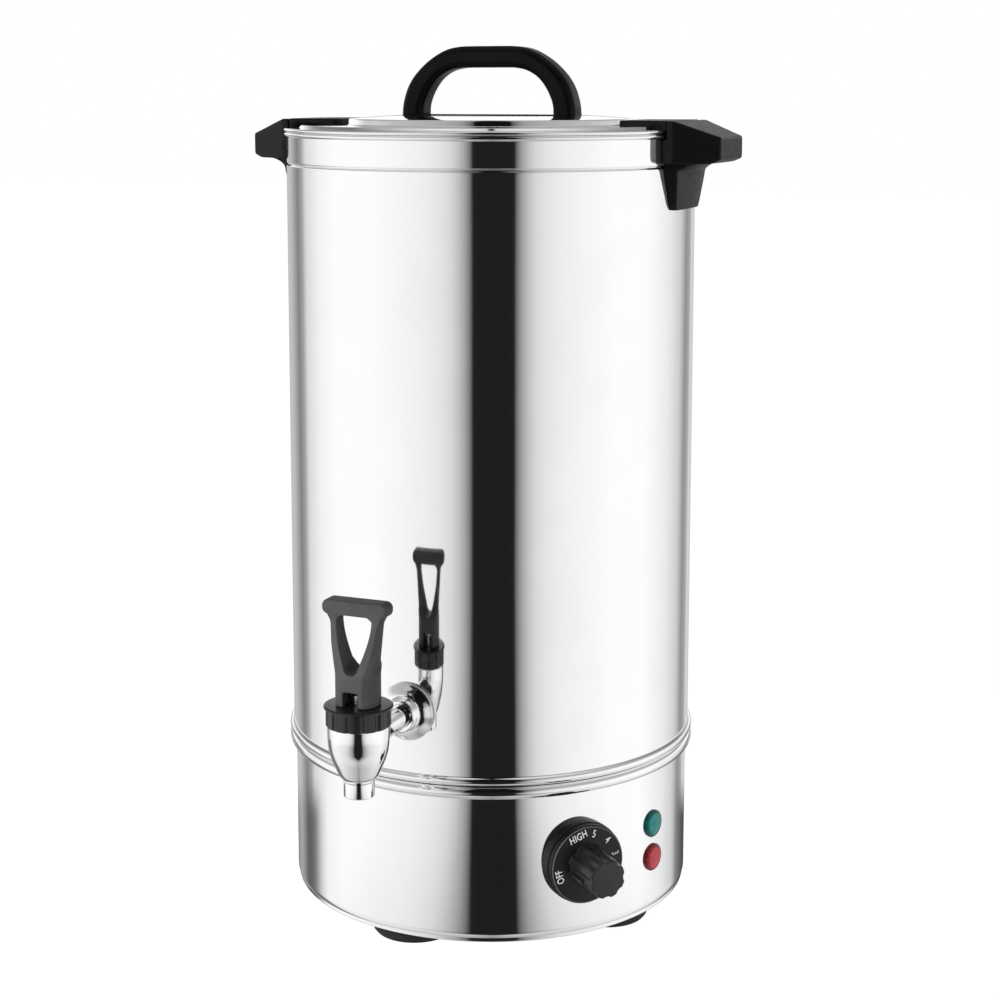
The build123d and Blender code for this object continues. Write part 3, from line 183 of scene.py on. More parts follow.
def inset(outline, distance):
    """Closed outline moved inward along its corners' bisectors. It runs anticlockwise."""
    out = []
    count = len(outline)
    for i, (x, y) in enumerate(outline):
        x0, y0 = outline[i - 1]
        x1, y1 = outline[(i + 1) % count]
        a = Vector((x - x0, y - y0)).normalized()
        b = Vector((x1 - x, y1 - y)).normalized()
        normal = Vector((-a.y - b.y, a.x + b.x))
        if normal.length < 1e-6:
            normal = Vector((-a.y, a.x))
        normal.normalize()
        lean = max(0.5, normal.dot(Vector((-a.y, a.x))))
        out.append((x + normal.x * distance / lean, y + normal.y * distance / lean))
    return out


def lobed(radius, count, centre_out, cut_r, steps=12):
    """Round outline with round flutes cut into it: their centres lie outside it by centre_out."""
    total = count * steps * 2
    points = []
    for k in range(total):
        a = 2 * pi * k / total
        off = (a * count / (2 * pi) + 0.5) % 1.0 - 0.5
        b = off * 2 * pi / count
        c = radius + centre_out
        inside = cut_r ** 2 - (c * sin(b)) ** 2
        r = radius
        if inside > 0:
            r = min(radius, c * cos(b) - sqrt(inside))
        points.append((r * cos(a), r * sin(a)))
    return points


def smooth_step(value, low, high):
    """0 below the range, 1 above it, and smooth between."""
    t = min(1.0, max(0.0, (value - low) / (high - low)))
    return t * t * (3 - 2 * t)


# ---- places ----
def wall(angle, height, radius):
    """Place on a round wall: local x along the wall, y up, z outward."""
    a = radians(angle)
    return Matrix(((cos(a), 0, sin(a), radius * sin(a)), (sin(a), 0, -cos(a), -radius * cos(a)),
                   (0, 1, 0, height), (0, 0, 0, 1)))


def at(x, y, z=0.0):
    return Matrix.Translation((x, y, z))


# ---- meshes ----
def placed(name, data):
    """New object in the scene."""
    obj = bpy.data.objects.new(name, data)
    bpy.context.scene.collection.objects.link(obj)
    return obj


def settled(obj):
    """An object's final mesh, for which the object itself is given up."""
    bpy.context.view_layer.update()
    mesh = bpy.data.meshes.new_from_object(obj.evaluated_get(bpy.context.evaluated_depsgraph_get()))
    bpy.data.objects.remove(obj)
    return mesh


def finish_mesh(name, mesh, sharp=32.0):
    """Object from a mesh, with outward normals, and creases where faces meet at more than an angle."""
    bm = bmesh.new()
    bm.from_mesh(mesh)
    bmesh.ops.recalc_face_normals(bm, faces=bm.faces)
    bm.to_mesh(mesh)
    bm.free()
    mesh.polygons.foreach_set("use_smooth", [True] * len(mesh.polygons))
    mesh.set_sharp_from_angle(angle=radians(sharp))
    return placed(name, mesh)


def joined(name, objects):
    """One object from several, each a closed shell of it."""
    bm = bmesh.new()
    for obj in objects:
        bm.from_mesh(obj.data)
    mesh = bpy.data.meshes.new(name)
    bm.to_mesh(mesh)
    bm.free()
    for obj in objects:
        bpy.data.objects.remove(obj)
    return finish_mesh(name, mesh)


def skin(name, rings, place=None, closed=True, sharp=32.0):
    """Surface through rings of points with equal counts. A ring of one point is a pole."""
    verts, index, faces = [], [], []
    for ring in rings:
        index.append(range(len(verts), len(verts) + len(ring)))
        verts += ring
    pairs = list(zip(index, index[1:]))
    if closed:
        pairs.append((index[-1], index[0]))
    for a, b in pairs:
        count = max(len(a), len(b))
        if count == 1:
            continue
        for i in range(count):
            j = (i + 1) % count
            loop = []
            for k in (a[i % len(a)], a[j % len(a)], b[j % len(b)], b[i % len(b)]):
                if k not in loop:
                    loop.append(k)
            faces.append(loop)
    if not closed:
        for ring in (index[0], index[-1]):
            if len(ring) > 2:
                faces.append(list(ring))
    place = place or Matrix.Identity(4)
    mesh = bpy.data.meshes.new(name)
    mesh.from_pydata([place @ Vector(v) * MM for v in verts], [], faces)
    return finish_mesh(name, mesh, sharp)


REPEAT = 1e-4
POLE_R = 1e-6


def lathe(name, profile, place, segments, closed=True):
    """Turned about local z from (radius, height) points. A point that repeats the last one is skipped."""
    rings = []
    last = None
    for radius, height in profile:
        if last and hypot(radius - last[0], height - last[1]) < REPEAT:
            continue
        last = radius, height
        if radius < POLE_R:
            rings.append([(0, 0, height)])
        else:
            rings.append([(radius * cos(2 * pi * k / segments), radius * sin(2 * pi * k / segments), height)
                          for k in range(segments)])
    return skin(name, rings, place, closed and len(rings[0]) > 1)


def fluted(name, layers, place, count, centre_out, cut_r, radius):
    """Fluted body: layers are (height, scale of the outline, depth of the flutes from 0 to 1)."""
    base = lobed(radius, count, centre_out, cut_r)
    rings = []
    for height, scale, depth in layers:
        ring = []
        for x, y in base:
            r = hypot(x, y)
            r_new = (radius + (r - radius) * depth) * scale
            ring.append((x / r * r_new, y / r * r_new, height))
        rings.append(ring)
    return skin(name, rings, place, False)


def slab(name, outline, low, high, edge, place=None, steps=5):
    """Outline raised from one height to another, with a rounded upper edge."""
    area = sum(a[0] * b[1] - b[0] * a[1] for a, b in zip(outline, outline[1:] + outline[:1]))
    if area < 0:
        outline = outline[::-1]
    layers = [(low, 0.0)]
    for k in range(steps + 1):
        t = pi / 2 * k / steps
        layers.append((high - edge * (1 - sin(t)), edge * (1 - cos(t))))
    rings = [[(x, y, z) for x, y in inset(outline, gap)] for z, gap in layers]
    return skin(name, rings, place, False)


def softened(name, node, width, wanted, angle=28.0):
    """Copy of a CAD solid's mesh, with the edges rounded that bend enough and whose middle is wanted."""
    bm = bmesh.new()
    bm.from_mesh(nodes[node].data)
    bmesh.ops.remove_doubles(bm, verts=bm.verts, dist=1e-6)
    bmesh.ops.dissolve_limit(bm, angle_limit=radians(0.6), verts=bm.verts, edges=bm.edges)
    edges = [e for e in bm.edges if len(e.link_faces) == 2 and e.calc_face_angle(0) > radians(angle)
             and wanted((e.verts[0].co + e.verts[1].co) / (2 * MM))]
    bmesh.ops.bevel(bm, geom=edges, offset=width * MM, segments=3, profile=0.5,
                    affect="EDGES", clamp_overlap=True)
    mesh = bpy.data.meshes.new(name)
    bm.to_mesh(mesh)
    bm.free()
    return finish_mesh(name, mesh, 50.0)


def moulded(name, node, voxel, rounds, warp):
    """Copy of a CAD solid with its edges rounded off by remeshing and smoothing, then bent by warp."""
    source = placed(name, nodes[node].data.copy())
    remesh = source.modifiers.new("remesh", "REMESH")
    remesh.mode = "VOXEL"
    remesh.voxel_size = voxel * MM
    mesh = settled(source)
    bm = bmesh.new()
    bm.from_mesh(mesh)
    for _ in range(rounds):
        bmesh.ops.smooth_vert(bm, verts=bm.verts, factor=0.5, use_axis_x=True, use_axis_y=True,
                              use_axis_z=True)
    for vert in bm.verts:
        vert.co = Vector(warp(*(vert.co / MM))) * MM
    bm.to_mesh(mesh)
    bm.free()
    return finish_mesh(name, mesh, 180.0)


# ---- shader nodes ----
def cleared(owner):
    """Empty node tree of a material or world."""
    owner.use_nodes = True
    owner.node_tree.nodes.clear()
    return owner.node_tree


def math_node(tree, operation, *values):
    """Maths on numbers and sockets."""
    node = tree.nodes.new("ShaderNodeMath")
    node.operation = operation
    for socket, value in zip(node.inputs, values):
        if isinstance(value, (int, float)):
            socket.default_value = value
        else:
            tree.links.new(value, socket)
    return node.outputs[0]


def spread(tree, value, low, high, start=0.3, stop=0.7):
    """Maps a value from one range onto another. Noise lies mostly between 0.3 and 0.7."""
    node = tree.nodes.new("ShaderNodeMapRange")
    node.inputs["From Min"].default_value = start
    node.inputs["From Max"].default_value = stop
    node.inputs["To Min"].default_value = low
    node.inputs["To Max"].default_value = high
    tree.links.new(value, node.inputs["Value"])
    return node.outputs["Result"]


def noise(tree, scale, detail=3.0, stretch=(1, 1, 1)):
    """Noise in the object's own space. Scale is in cells per metre."""
    coords = tree.nodes.new("ShaderNodeTexCoord")
    mapping = tree.nodes.new("ShaderNodeMapping")
    mapping.inputs["Scale"].default_value = stretch
    texture = tree.nodes.new("ShaderNodeTexNoise")
    texture.inputs["Scale"].default_value = scale
    texture.inputs["Detail"].default_value = detail
    texture.inputs["Roughness"].default_value = 0.5
    tree.links.new(coords.outputs["Object"], mapping.inputs["Vector"])
    tree.links.new(mapping.outputs["Vector"], texture.inputs["Vector"])
    return texture.outputs["Fac"]


def blend_colours(tree, value, a, b, start=0.35, stop=0.65):
    """One colour below a value, another above it."""
    node = tree.nodes.new("ShaderNodeValToRGB")
    for element, position, colour in zip(node.color_ramp.elements, (start, stop), (a, b)):
        element.position = position
        element.color = (*colour, 1)
    tree.links.new(value, node.inputs["Fac"])
    return node.outputs["Color"]


def bump(tree, shader, *layers):
    """Stacked bumps: each layer is (height value, depth)."""
    normal = None
    for value, depth in layers:
        node = tree.nodes.new("ShaderNodeBump")
        node.inputs["Strength"].default_value = 1.0
        node.inputs["Distance"].default_value = depth * MM
        tree.links.new(value, node.inputs["Height"])
        if normal:
            tree.links.new(normal, node.inputs["Normal"])
        normal = node.outputs["Normal"]
    tree.links.new(normal, shader.inputs["Normal"])


def plain_shader(tree, kind, grey):
    """Shader of one even grey."""
    node = tree.nodes.new(kind)
    node.inputs["Color"].default_value = (grey, grey, grey, 1)
    return node.outputs[0]


def mixed(tree, kind, *sockets):
    """Mix Shader or Add Shader fed by the sockets in order."""
    node = tree.nodes.new(kind)
    for socket, value in zip(node.inputs, sockets):
        tree.links.new(value, socket)
    return node.outputs[0]


# ---- materials ----
# Noises are (cells per metre, detail, stretch along x, y and z), or cells per metre alone.
STEEL_STREAKS = (700.0, 3.0, (1, 1, 0.012))
METAL_HAZE = (26.0, 4.0)
METAL_GRAIN = (420.0, 4.0)
METAL_WAVE = (14.0, 1.0, (1, 1, 0.45))
METAL_SCRATCH = 900.0
SCRATCH_STRETCH = (1, 1, 0.03)
PLASTIC_CLOUD = (70.0, 5.0)
PLASTIC_SHEEN = (240.0, 4.0)
SHEEN_SPREAD = 0.05
LENS_RIM_CLOUD, LENS_EYE_CLOUD = 150.0, 260.0
LENS_WAVE = (900.0, 1.0)
SATIN_METALLIC = 0.35
SATIN_ROUGHNESS = 0.4


def principled(name):
    mat = bpy.data.materials.new(name)
    tree = cleared(mat)
    out = tree.nodes.new("ShaderNodeOutputMaterial")
    shader = tree.nodes.new("ShaderNodeBsdfPrincipled")
    tree.links.new(shader.outputs["BSDF"], out.inputs["Surface"])
    return mat, tree, shader


def metal(name, colour, roughness, spread_by, wave=0.0, streaks=None, tint=0.02, scratch=0.0):
    """Polished or plated metal, with drawn streaks, handling haze and a slight unevenness."""
    mat, tree, shader = principled(name)
    shader.inputs["Metallic"].default_value = 1.0
    shade = tuple(c * (1 - tint) for c in colour)
    tree.links.new(blend_colours(tree, noise(tree, *METAL_HAZE), shade, colour), shader.inputs["Base Color"])
    grain = noise(tree, *(streaks or METAL_GRAIN))
    tree.links.new(spread(tree, grain, roughness - spread_by, roughness + spread_by),
                   shader.inputs["Roughness"])
    layers = []
    if wave:
        layers.append((noise(tree, *METAL_WAVE), wave))
    if scratch:
        layers.append((noise(tree, METAL_SCRATCH, 3.0, SCRATCH_STRETCH if streaks else (1, 1, 1)), scratch))
    if layers:
        bump(tree, shader, *layers)
    return mat


def satin_within(mat, radius):
    """Duller, rougher metal within a radius of the axis: the inside of the tank isn't polished."""
    tree = mat.node_tree
    shader = next(node for node in tree.nodes if node.type == "BSDF_PRINCIPLED")
    coords = tree.nodes.new("ShaderNodeTexCoord")
    across = tree.nodes.new("ShaderNodeVectorMath")
    across.operation = "MULTIPLY"
    across.inputs[1].default_value = (1, 1, 0)
    length = tree.nodes.new("ShaderNodeVectorMath")
    length.operation = "LENGTH"
    tree.links.new(coords.outputs["Object"], across.inputs[0])
    tree.links.new(across.outputs["Vector"], length.inputs[0])
    inside = math_node(tree, "LESS_THAN", length.outputs["Value"], radius * MM)
    metallic = math_node(tree, "MULTIPLY_ADD", inside, SATIN_METALLIC - 1.0, 1.0)
    polished = shader.inputs["Roughness"].links[0].from_socket
    rougher = math_node(tree, "MAXIMUM", math_node(tree, "MULTIPLY", inside, SATIN_ROUGHNESS), polished)
    tree.links.new(metallic, shader.inputs["Metallic"])
    tree.links.new(rougher, shader.inputs["Roughness"])


def plastic(name, colour, roughness, specular=0.5, grain=0.0, scale=1400.0, worn=1.35):
    """Moulded plastic or rubber: fine grain, patchy sheen and a little colour variation."""
    mat, tree, shader = principled(name)
    shader.inputs["Specular IOR Level"].default_value = specular
    tree.links.new(blend_colours(tree, noise(tree, *PLASTIC_CLOUD), colour, tuple(c * worn for c in colour)),
                   shader.inputs["Base Color"])
    sheen = noise(tree, *PLASTIC_SHEEN)
    tree.links.new(spread(tree, sheen, roughness - SHEEN_SPREAD, roughness + SHEEN_SPREAD),
                   shader.inputs["Roughness"])
    if grain:
        bump(tree, shader, (noise(tree, scale, 2.0), grain))
    return mat


def lens(name, deep, bright, cloud):
    """Tinted lamp lens under a thin gloss, its colour and surface slightly uneven."""
    mat, tree, shader = principled(name)
    shader.inputs["Specular IOR Level"].default_value = 0.3
    shader.inputs["Coat Weight"].default_value = 0.15
    shader.inputs["Coat Roughness"].default_value = 0.06
    shader.inputs["Roughness"].default_value = 0.22
    tree.links.new(blend_colours(tree, noise(tree, cloud, 2.0), deep, bright, 0.3, 0.7),
                   shader.inputs["Base Color"])
    bump(tree, shader, (noise(tree, *LENS_WAVE), 0.05))
    return mat


stainless = metal("stainless", (0.90, 0.90, 0.905), 0.05, 0.012, wave=0.05, streaks=STEEL_STREAKS,
                  scratch=0.0006)
tank_steel = stainless.copy()
tank_steel.name = "tank_steel"
satin_within(tank_steel, BODY_R - 0.9)
weld_steel = metal("stainless_satin", (0.80, 0.80, 0.80), 0.26, 0.06, wave=0.05, streaks=STEEL_STREAKS,
                   scratch=0.002)
base_steel = metal("base_steel", (0.62, 0.62, 0.63), 0.32, 0.06, scratch=0.004, tint=0.10)
fixings = metal("fixings", (0.66, 0.66, 0.68), 0.26, 0.06, scratch=0.003, tint=0.08)
chrome = metal("chrome", (0.93, 0.93, 0.94), 0.05, 0.012, wave=0.006)
brass = metal("plated_brass", (0.80, 0.72, 0.52), 0.22, 0.05, scratch=0.003, tint=0.10)
spreader_metal = metal("spreader", (0.72, 0.73, 0.74), 0.42, 0.08, scratch=0.01, tint=0.12)
element_metal = metal("element", (0.30, 0.29, 0.27), 0.45, 0.10, scratch=0.006, tint=0.30)
copper = metal("sensors", (0.72, 0.42, 0.28), 0.33, 0.06, scratch=0.003, tint=0.15)
grip_black = plastic("grip_black", (0.002, 0.002, 0.0022), 0.34, 0.09, 0.005)
handle_black = plastic("handle_black", (0.0030, 0.0030, 0.0032), 0.38, 0.17, 0.007)
tap_black = plastic("tap_black", (0.010, 0.010, 0.011), 0.22, 0.42, 0.006)
lever_black = plastic("lever_black", (0.062, 0.062, 0.064), 0.50, 0.16, 0.010)
dial_black = plastic("dial_black", (0.006, 0.006, 0.0065), 0.36, 0.26, 0.010)
# The grip's black is a lighter copy of the dial's black, a painted highlight on its flutes. Its higher
# specular level is real gloss.
knob_black_painted_highlight = plastic("knob_black_painted_highlight", (0.014, 0.014, 0.015), 0.30, 0.42, 0.008)
dial_line = plastic("dial_line", (0.10, 0.10, 0.10), 0.40, 0.40)
mark_white = plastic("mark_white", (0.94, 0.94, 0.93), 0.50, 0.30, worn=0.95)
gland_black = plastic("gland_black", (0.016, 0.016, 0.017), 0.40, 0.40, 0.01)
rubber = plastic("rubber", (0.012, 0.012, 0.013), 0.62, 0.30, 0.03, 900.0)
silicone = plastic("silicone", (0.60, 0.60, 0.58), 0.48, 0.35, 0.02)
control_body = plastic("controls", (0.055, 0.052, 0.050), 0.45, 0.40, 0.01)
lamp_shell = plastic("lamp_body", (0.55, 0.54, 0.50), 0.40, 0.40, 0.01)
reset_red = plastic("reset_red", (0.48, 0.02, 0.015), 0.35, 0.50, 0.008)
LENSES = {
    "green": (lens("green_rim", (0.001, 0.060, 0.052), (0.003, 0.11, 0.095), LENS_RIM_CLOUD),
              lens("green_eye", (0.001, 0.23, 0.21), (0.006, 0.40, 0.36), LENS_EYE_CLOUD)),
    "red": (lens("red_rim", (0.20, 0.006, 0.011), (0.32, 0.018, 0.026), LENS_RIM_CLOUD),
            lens("red_eye", (0.66, 0.022, 0.040), (0.85, 0.07, 0.09), LENS_EYE_CLOUD)),
}


def dress(obj, material, body, slot, *replaced):
    """Gives a piece its material, hangs it under its body's empty, and hides the CAD nodes that it stands
    for. The slot is not used.
    """
    obj.data.materials.clear()
    obj.data.materials.append(material)
    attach(obj, body)
    if replaced:
        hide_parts(*replaced)


# ---- tank, from the middle of its floor outward and up, then down the inside ----
ROUND_SEGMENTS = 256
GROOVE_HALF = 1.3
GROOVE_DEPTH = 0.8
FLOOR_CORNER = 8.0
RIM_ROLL = 1.5
tank_r = BODY_R - SHEET
tank_profile = rounded([
    (0, Z_FLOOR - 1.4), (tank_r - 0.6, Z_FLOOR - 1.4), (tank_r, Z_FLOOR - 2.0), (tank_r, Z_SEAM),
    (BODY_R, Z_SEAM)])
tank_profile += roll(BODY_R, Z_SEAM + 0.15, Z_BODY - 0.15, BEAD_R - BODY_R)
tank_profile += [(BODY_R, Z_BODY), (BODY_R, Z_BODY + 0.5), (BODY_R, Z_BODY + 1.2)]
tank_profile += [(BODY_R, Z_GROOVE - GROOVE_HALF - 1.4), (BODY_R, Z_GROOVE - GROOVE_HALF - 0.6)]
tank_profile += pressed(BODY_R, GROOVE_DEPTH, Z_GROOVE, GROOVE_HALF, 20)
tank_profile += [(BODY_R, Z_GROOVE + GROOVE_HALF + 0.6), (BODY_R, Z_RIM - 0.5)]
tank_profile += rounded([(BODY_R, Z_RIM - 0.3), (BODY_R, Z_RIM, 0.25), (RIM_R - RIM_ROLL, Z_RIM)])[1:]
tank_profile += arc(RIM_R - RIM_ROLL, Z_RIM + RIM_ROLL, RIM_ROLL, -90, 90, 14)
tank_profile += [(BODY_R - 0.2, Z_MOUTH), (tank_r + 0.2, Z_MOUTH - 0.1), (tank_r, Z_MOUTH - 0.4)]
tank_profile += [(tank_r, Z_GROOVE + GROOVE_HALF)]
tank_profile += pressed(tank_r, GROOVE_DEPTH, Z_GROOVE, -GROOVE_HALF, 30)
tank_profile += [(tank_r, Z_GROOVE - GROOVE_HALF - 0.2), (tank_r, Z_FLOOR + FLOOR_CORNER)]
tank_profile += arc(tank_r - FLOOR_CORNER, Z_FLOOR + FLOOR_CORNER, FLOOR_CORNER, 0, -90, 10)[1:]
tank_profile += [(0, Z_FLOOR)]
tank = lathe("tank_shell", tank_profile, None, ROUND_SEGMENTS, closed=False)
dress(tank, tank_steel, "urn", "stainless", "tank")

# The weld down the back of the wall: a low bead, mostly sunk into it.
WELD_SUNK, WELD_RISE, WELD_HALF_W = 0.3, 0.42, 0.9
weld_arc = [(BODY_R - WELD_SUNK + WELD_RISE * cos(radians(a)), WELD_HALF_W * sin(radians(a)))
            for a in range(-90, 91, 15)]
weld_rings = [[(y, x, z) for x, y in weld_arc] for z in (Z_BODY + 1.0, Z_GROOVE - 2.0)]
dress(skin("wall_weld", weld_rings, closed=False), weld_steel, "urn", "stainless")

# ---- base skirt: an edge that turns in and ends in a small roll, the wall, and a bead under the seam ----
EDGE_ROLL = 0.8
TURN_IN_R = 7.0
skirt_in = SKIRT_R - SHEET
flange_in = skirt_in - 8.5
skirt_profile = [(flange_in, Z_EDGE)]
skirt_profile += arc(SKIRT_R - 1.9, Z_EDGE + EDGE_ROLL, EDGE_ROLL, -90, 45, 8)
skirt_profile += [(SKIRT_R - 1.5, Z_EDGE + 1.7)]
skirt_profile += arc(SKIRT_R - TURN_IN_R, Z_EDGE + 6.5, TURN_IN_R, -38, 0, 12)
skirt_profile += [(SKIRT_R, Z_EDGE + 6.9), (SKIRT_R, Z_EDGE + 7.6)]
skirt_profile += [(SKIRT_R, Z_SKIRT_BEAD - 1.2), (SKIRT_R, Z_SKIRT_BEAD - 0.4)]
skirt_profile += roll(SKIRT_R, Z_SKIRT_BEAD, Z_SEAM - 0.1, BEAD_R - SKIRT_R)
skirt_profile += [(flange_in, Z_SEAM), (flange_in, Z_SEAM - SHEET), (skirt_in, Z_SEAM - SHEET),
                  (skirt_in, Z_EDGE + SHEET), (flange_in, Z_EDGE + SHEET)]
skirt = lathe("base_skirt_shell", skirt_profile, None, ROUND_SEGMENTS)
dress(skirt, stainless, "urn", "stainless", "base_skirt")

# ---- lid, from the middle of its dome outward and down, then back under it ----
LID_ROLL = 1.25
plug_in = LID_PLUG_R - SHEET
lid_profile = rounded([
    (0, Z_DOME), (DOME_FLAT_R, Z_DOME, 30.0), (DISC_R - 1.2, Z_DISC + 0.1, 0.9),
    (DISC_R + 0.2, Z_PLATEAU + 0.2, 0.9), (PLATEAU_R - 0.2, Z_PLATEAU, 0.8),
    (PLATEAU_R + 1.4, Z_LID_RIM + 0.15, 0.8), (RIM_R - 1.4, Z_LID_RIM)])
lid_profile += arc(RIM_R - LID_ROLL, Z_LID_RIM - LID_ROLL, LID_ROLL, 90, -90, 14)
lid_profile += rounded([
    (RIM_R - LID_ROLL, Z_MOUTH), (LID_PLUG_R, Z_MOUTH, 0.4), (LID_PLUG_R, Z_MOUTH - 9.0),
    (plug_in, Z_MOUTH - 9.5, 0.3), (plug_in, Z_LID_RIM - SHEET, 0.8), (PLATEAU_R + 0.7, Z_LID_RIM - SHEET),
    (PLATEAU_R - 0.7, Z_PLATEAU - SHEET), (DISC_R + 0.7, Z_PLATEAU - SHEET), (DISC_R - 0.7, Z_DISC - SHEET),
    (DOME_FLAT_R, Z_DOME - SHEET), (0, Z_DOME - SHEET)])[1:]
lid = lathe("lid_shell", lid_profile, None, ROUND_SEGMENTS, closed=False)
dress(lid, stainless, "lid_assembly", "stainless", "lid")

# ---- lid handle: an arch on a thin foot plate. Its outlines are (distance from the middle, height) ----
ARCH_SECTIONS = 60
ARCH_HALF_DEPTH = 10.0
ARCH_EDGE = 5.2
arch_outer = curve_through([(61.8, 0.0), (61.0, 8.0), (58.1, 17.4), (53.6, 25.0), (47.1, 32.0), (39.0, 38.2),
                            (29.5, 43.0), (20.0, 44.9), (10.0, 45.2), (0.0, 45.2)])
arch_inner = curve_through([(0.0, 31.2), (10.0, 31.2), (19.0, 31.0), (27.2, 29.4), (34.6, 25.4), (40.0, 19.6),
                            (43.9, 12.8), (46.0, 6.5), (46.4, 0.6)])
arch_half = list(zip(resampled(arch_outer, ARCH_SECTIONS), resampled(arch_inner[::-1], ARCH_SECTIONS)))
arch_rings = []
for outside, inside in arch_half + [((-a[0], a[1]), (-b[0], b[1])) for a, b in arch_half[-2::-1]]:
    middle = Vector(((outside[0] + inside[0]) / 2, 0, (outside[1] + inside[1]) / 2))
    across = Vector((outside[0] - inside[0], 0, outside[1] - inside[1]))
    half = across.length / 2
    across.normalize()
    section = rounded_box(half, ARCH_HALF_DEPTH, ARCH_EDGE, 6)
    arch_rings.append([tuple(middle + across * u + Vector((0, v, 0))) for u, v in section])
arch = skin("lid_grip_arch", arch_rings, at(0, 0, Z_DOME), False)
arch_foot = slab("lid_grip_foot", rounded_box(61.4, 9.4, 4.5), Z_DOME, Z_DOME + 0.6, 0.3)
dress(joined("lid_grip", [arch, arch_foot]), grip_black, "lid_assembly", "lid_grip", "lid_handle")

# ---- side handles and lid lugs: the solids' forms with moulded edges ----
HANDLE_SEAT_R = 135.1
GRIP_HALF_W = 35.9
TONGUE_FOOT_Z, TONGUE_TOP_Z = 469.5, 499.0
SOLID_HALF_W = (20.0, 27.0)    # of the tongue, at its foot and its top
SHOWN_HALF_W = (22.0, 33.0)
TONGUE_THINNER = 0.46


def grip_form(x, y, z):
    """Thins and widens the tongue below the grip, against the tank's wall."""
    tongue = 1.0 - smooth_step(z, TONGUE_TOP_Z - 6.0, TONGUE_TOP_Z + 3.0)
    up = min(max((z - TONGUE_FOOT_Z) / (TONGUE_TOP_Z - TONGUE_FOOT_Z), 0.0), 1.0)
    half, wide = (foot + (top - foot) * up for foot, top in (SOLID_HALF_W, SHOWN_HALF_W))
    wall_x = sqrt(HANDLE_SEAT_R ** 2 - y * y)
    off = (abs(x) - wall_x) * (1.0 - TONGUE_THINNER * tongue)
    if abs(y) < half:
        moved = abs(y) * wide / half
    elif abs(y) < GRIP_HALF_W:
        moved = GRIP_HALF_W - (GRIP_HALF_W - abs(y)) * (GRIP_HALF_W - wide) / (GRIP_HALF_W - half)
    else:
        moved = abs(y)
    y += (moved - abs(y)) * tongue * (1 if y > 0 else -1)
    return (sqrt(HANDLE_SEAT_R ** 2 - y * y) + off) * (1 if x > 0 else -1), y, z


for side in ("left", "right"):
    handle = moulded(f"side_grip_{side}", f"side_handle_{side}", voxel=0.55, rounds=6, warp=grip_form)
    dress(handle, handle_black, "urn", "black_handles", f"side_handle_{side}")
    lug = softened(f"lug_{side}", f"lid_lug_{side}", 0.7, lambda c: c.z > Z_LID_RIM + 2.5)
    dress(lug, handle_black, "lid_assembly", "black_handles", f"lid_lug_{side}")

# The screws behind the tongues, with their heads inside the tank.
SCREW_Z = 489.5
SCREW_Y = 15.0
SCREW_BITE = 3.2
SCREW_PROFILE = [(0, -4.9), (1.5, -4.8), (3.0, -4.35), (4.2, -3.5), (4.6, -2.4), (4.6, -1.75), (2.4, -1.75),
                 (2.4, SCREW_BITE), (0, SCREW_BITE)]
screw_wall = sqrt(BODY_R ** 2 - SCREW_Y ** 2)
grip_screws = []
for side in (1, -1):
    for y in (-SCREW_Y, SCREW_Y):
        place = Matrix(((0, 0, side, side * screw_wall), (side, 0, 0, y), (0, 1, 0, SCREW_Z), (0, 0, 0, 1)))
        grip_screws.append(lathe("screw", SCREW_PROFILE, place, 32, closed=False))
dress(joined("grip_screws", grip_screws), fixings, "urn", "fixings", "handle_screws")

# ---- tap: bowl and spout about an upright axis, shank and flange about one through the wall ----
TAP_SEGMENTS = 128
Z_SPOUT, Z_SEAT, Z_BONNET = 128.0, 147.0, 172.0
spout = at(0, TAP_Y)
tap_hole = wall(0, TAP_Z, BODY_R)
bowl_profile = rounded([(6.5, Z_SPOUT + 0.6), (6.9, Z_SPOUT, 0.3), (9.3, Z_SPOUT, 0.8), (9.3, Z_SPOUT + 9.0)])
bowl_profile += [(9.3, Z_SPOUT + 9.3), (8.9, Z_SPOUT + 9.9)]
bowl_profile += curve_through([
    (8.9, Z_SPOUT + 10.0), (11.8, Z_SPOUT + 13.2), (14.6, Z_SEAT), (16.6, Z_SEAT + 5.0),
    (17.9, Z_SEAT + 10.0), (18.6, Z_SEAT + 16.0), (18.8, Z_SEAT + 21.0), (18.8, Z_BONNET)])
bowl_profile += [(18.6, Z_BONNET + 0.2), (16.0, Z_BONNET + 0.2), (16.0, Z_BONNET + 9.0),
                 (14.2, Z_BONNET + 9.0), (14.2, Z_SEAT + 7.0), (9.0, Z_SEAT), (6.5, Z_SEAT)]
bowl = lathe("tap_bowl", bowl_profile, spout, TAP_SEGMENTS)
shank_profile = rounded([(5.5, -17.0), (7.7, -17.0, 0.3), (7.7, 49.0), (8.2, 50.6), (9.6, 52.0), (5.5, 52.0)])
shank = lathe("tap_shank", shank_profile, tap_hole, 96)
dress(joined("tap_casting", [bowl, shank]), chrome, "urn", "tap_chrome", "tap_body")

flange_profile = rounded([
    (7.75, 1.5), (17.5, 1.5, 0.3), (18.35, 1.9, 0.35), (18.35, 2.4, 0.3), (17.6, 2.9), (16.6, 3.6),
    (15.0, 4.9), (13.4, 6.0), (12.0, 6.6, 0.6), (11.4, 6.75, 0.3), (11.2, 7.6, 0.4), (10.6, 8.2, 0.4),
    (10.6, 12.2, 0.7), (9.6, 13.0, 0.4), (7.75, 13.0)])
flange = lathe("tap_escutcheon", flange_profile, tap_hole, TAP_SEGMENTS)
dress(flange, chrome, "urn", "tap_chrome", "tap_flange")

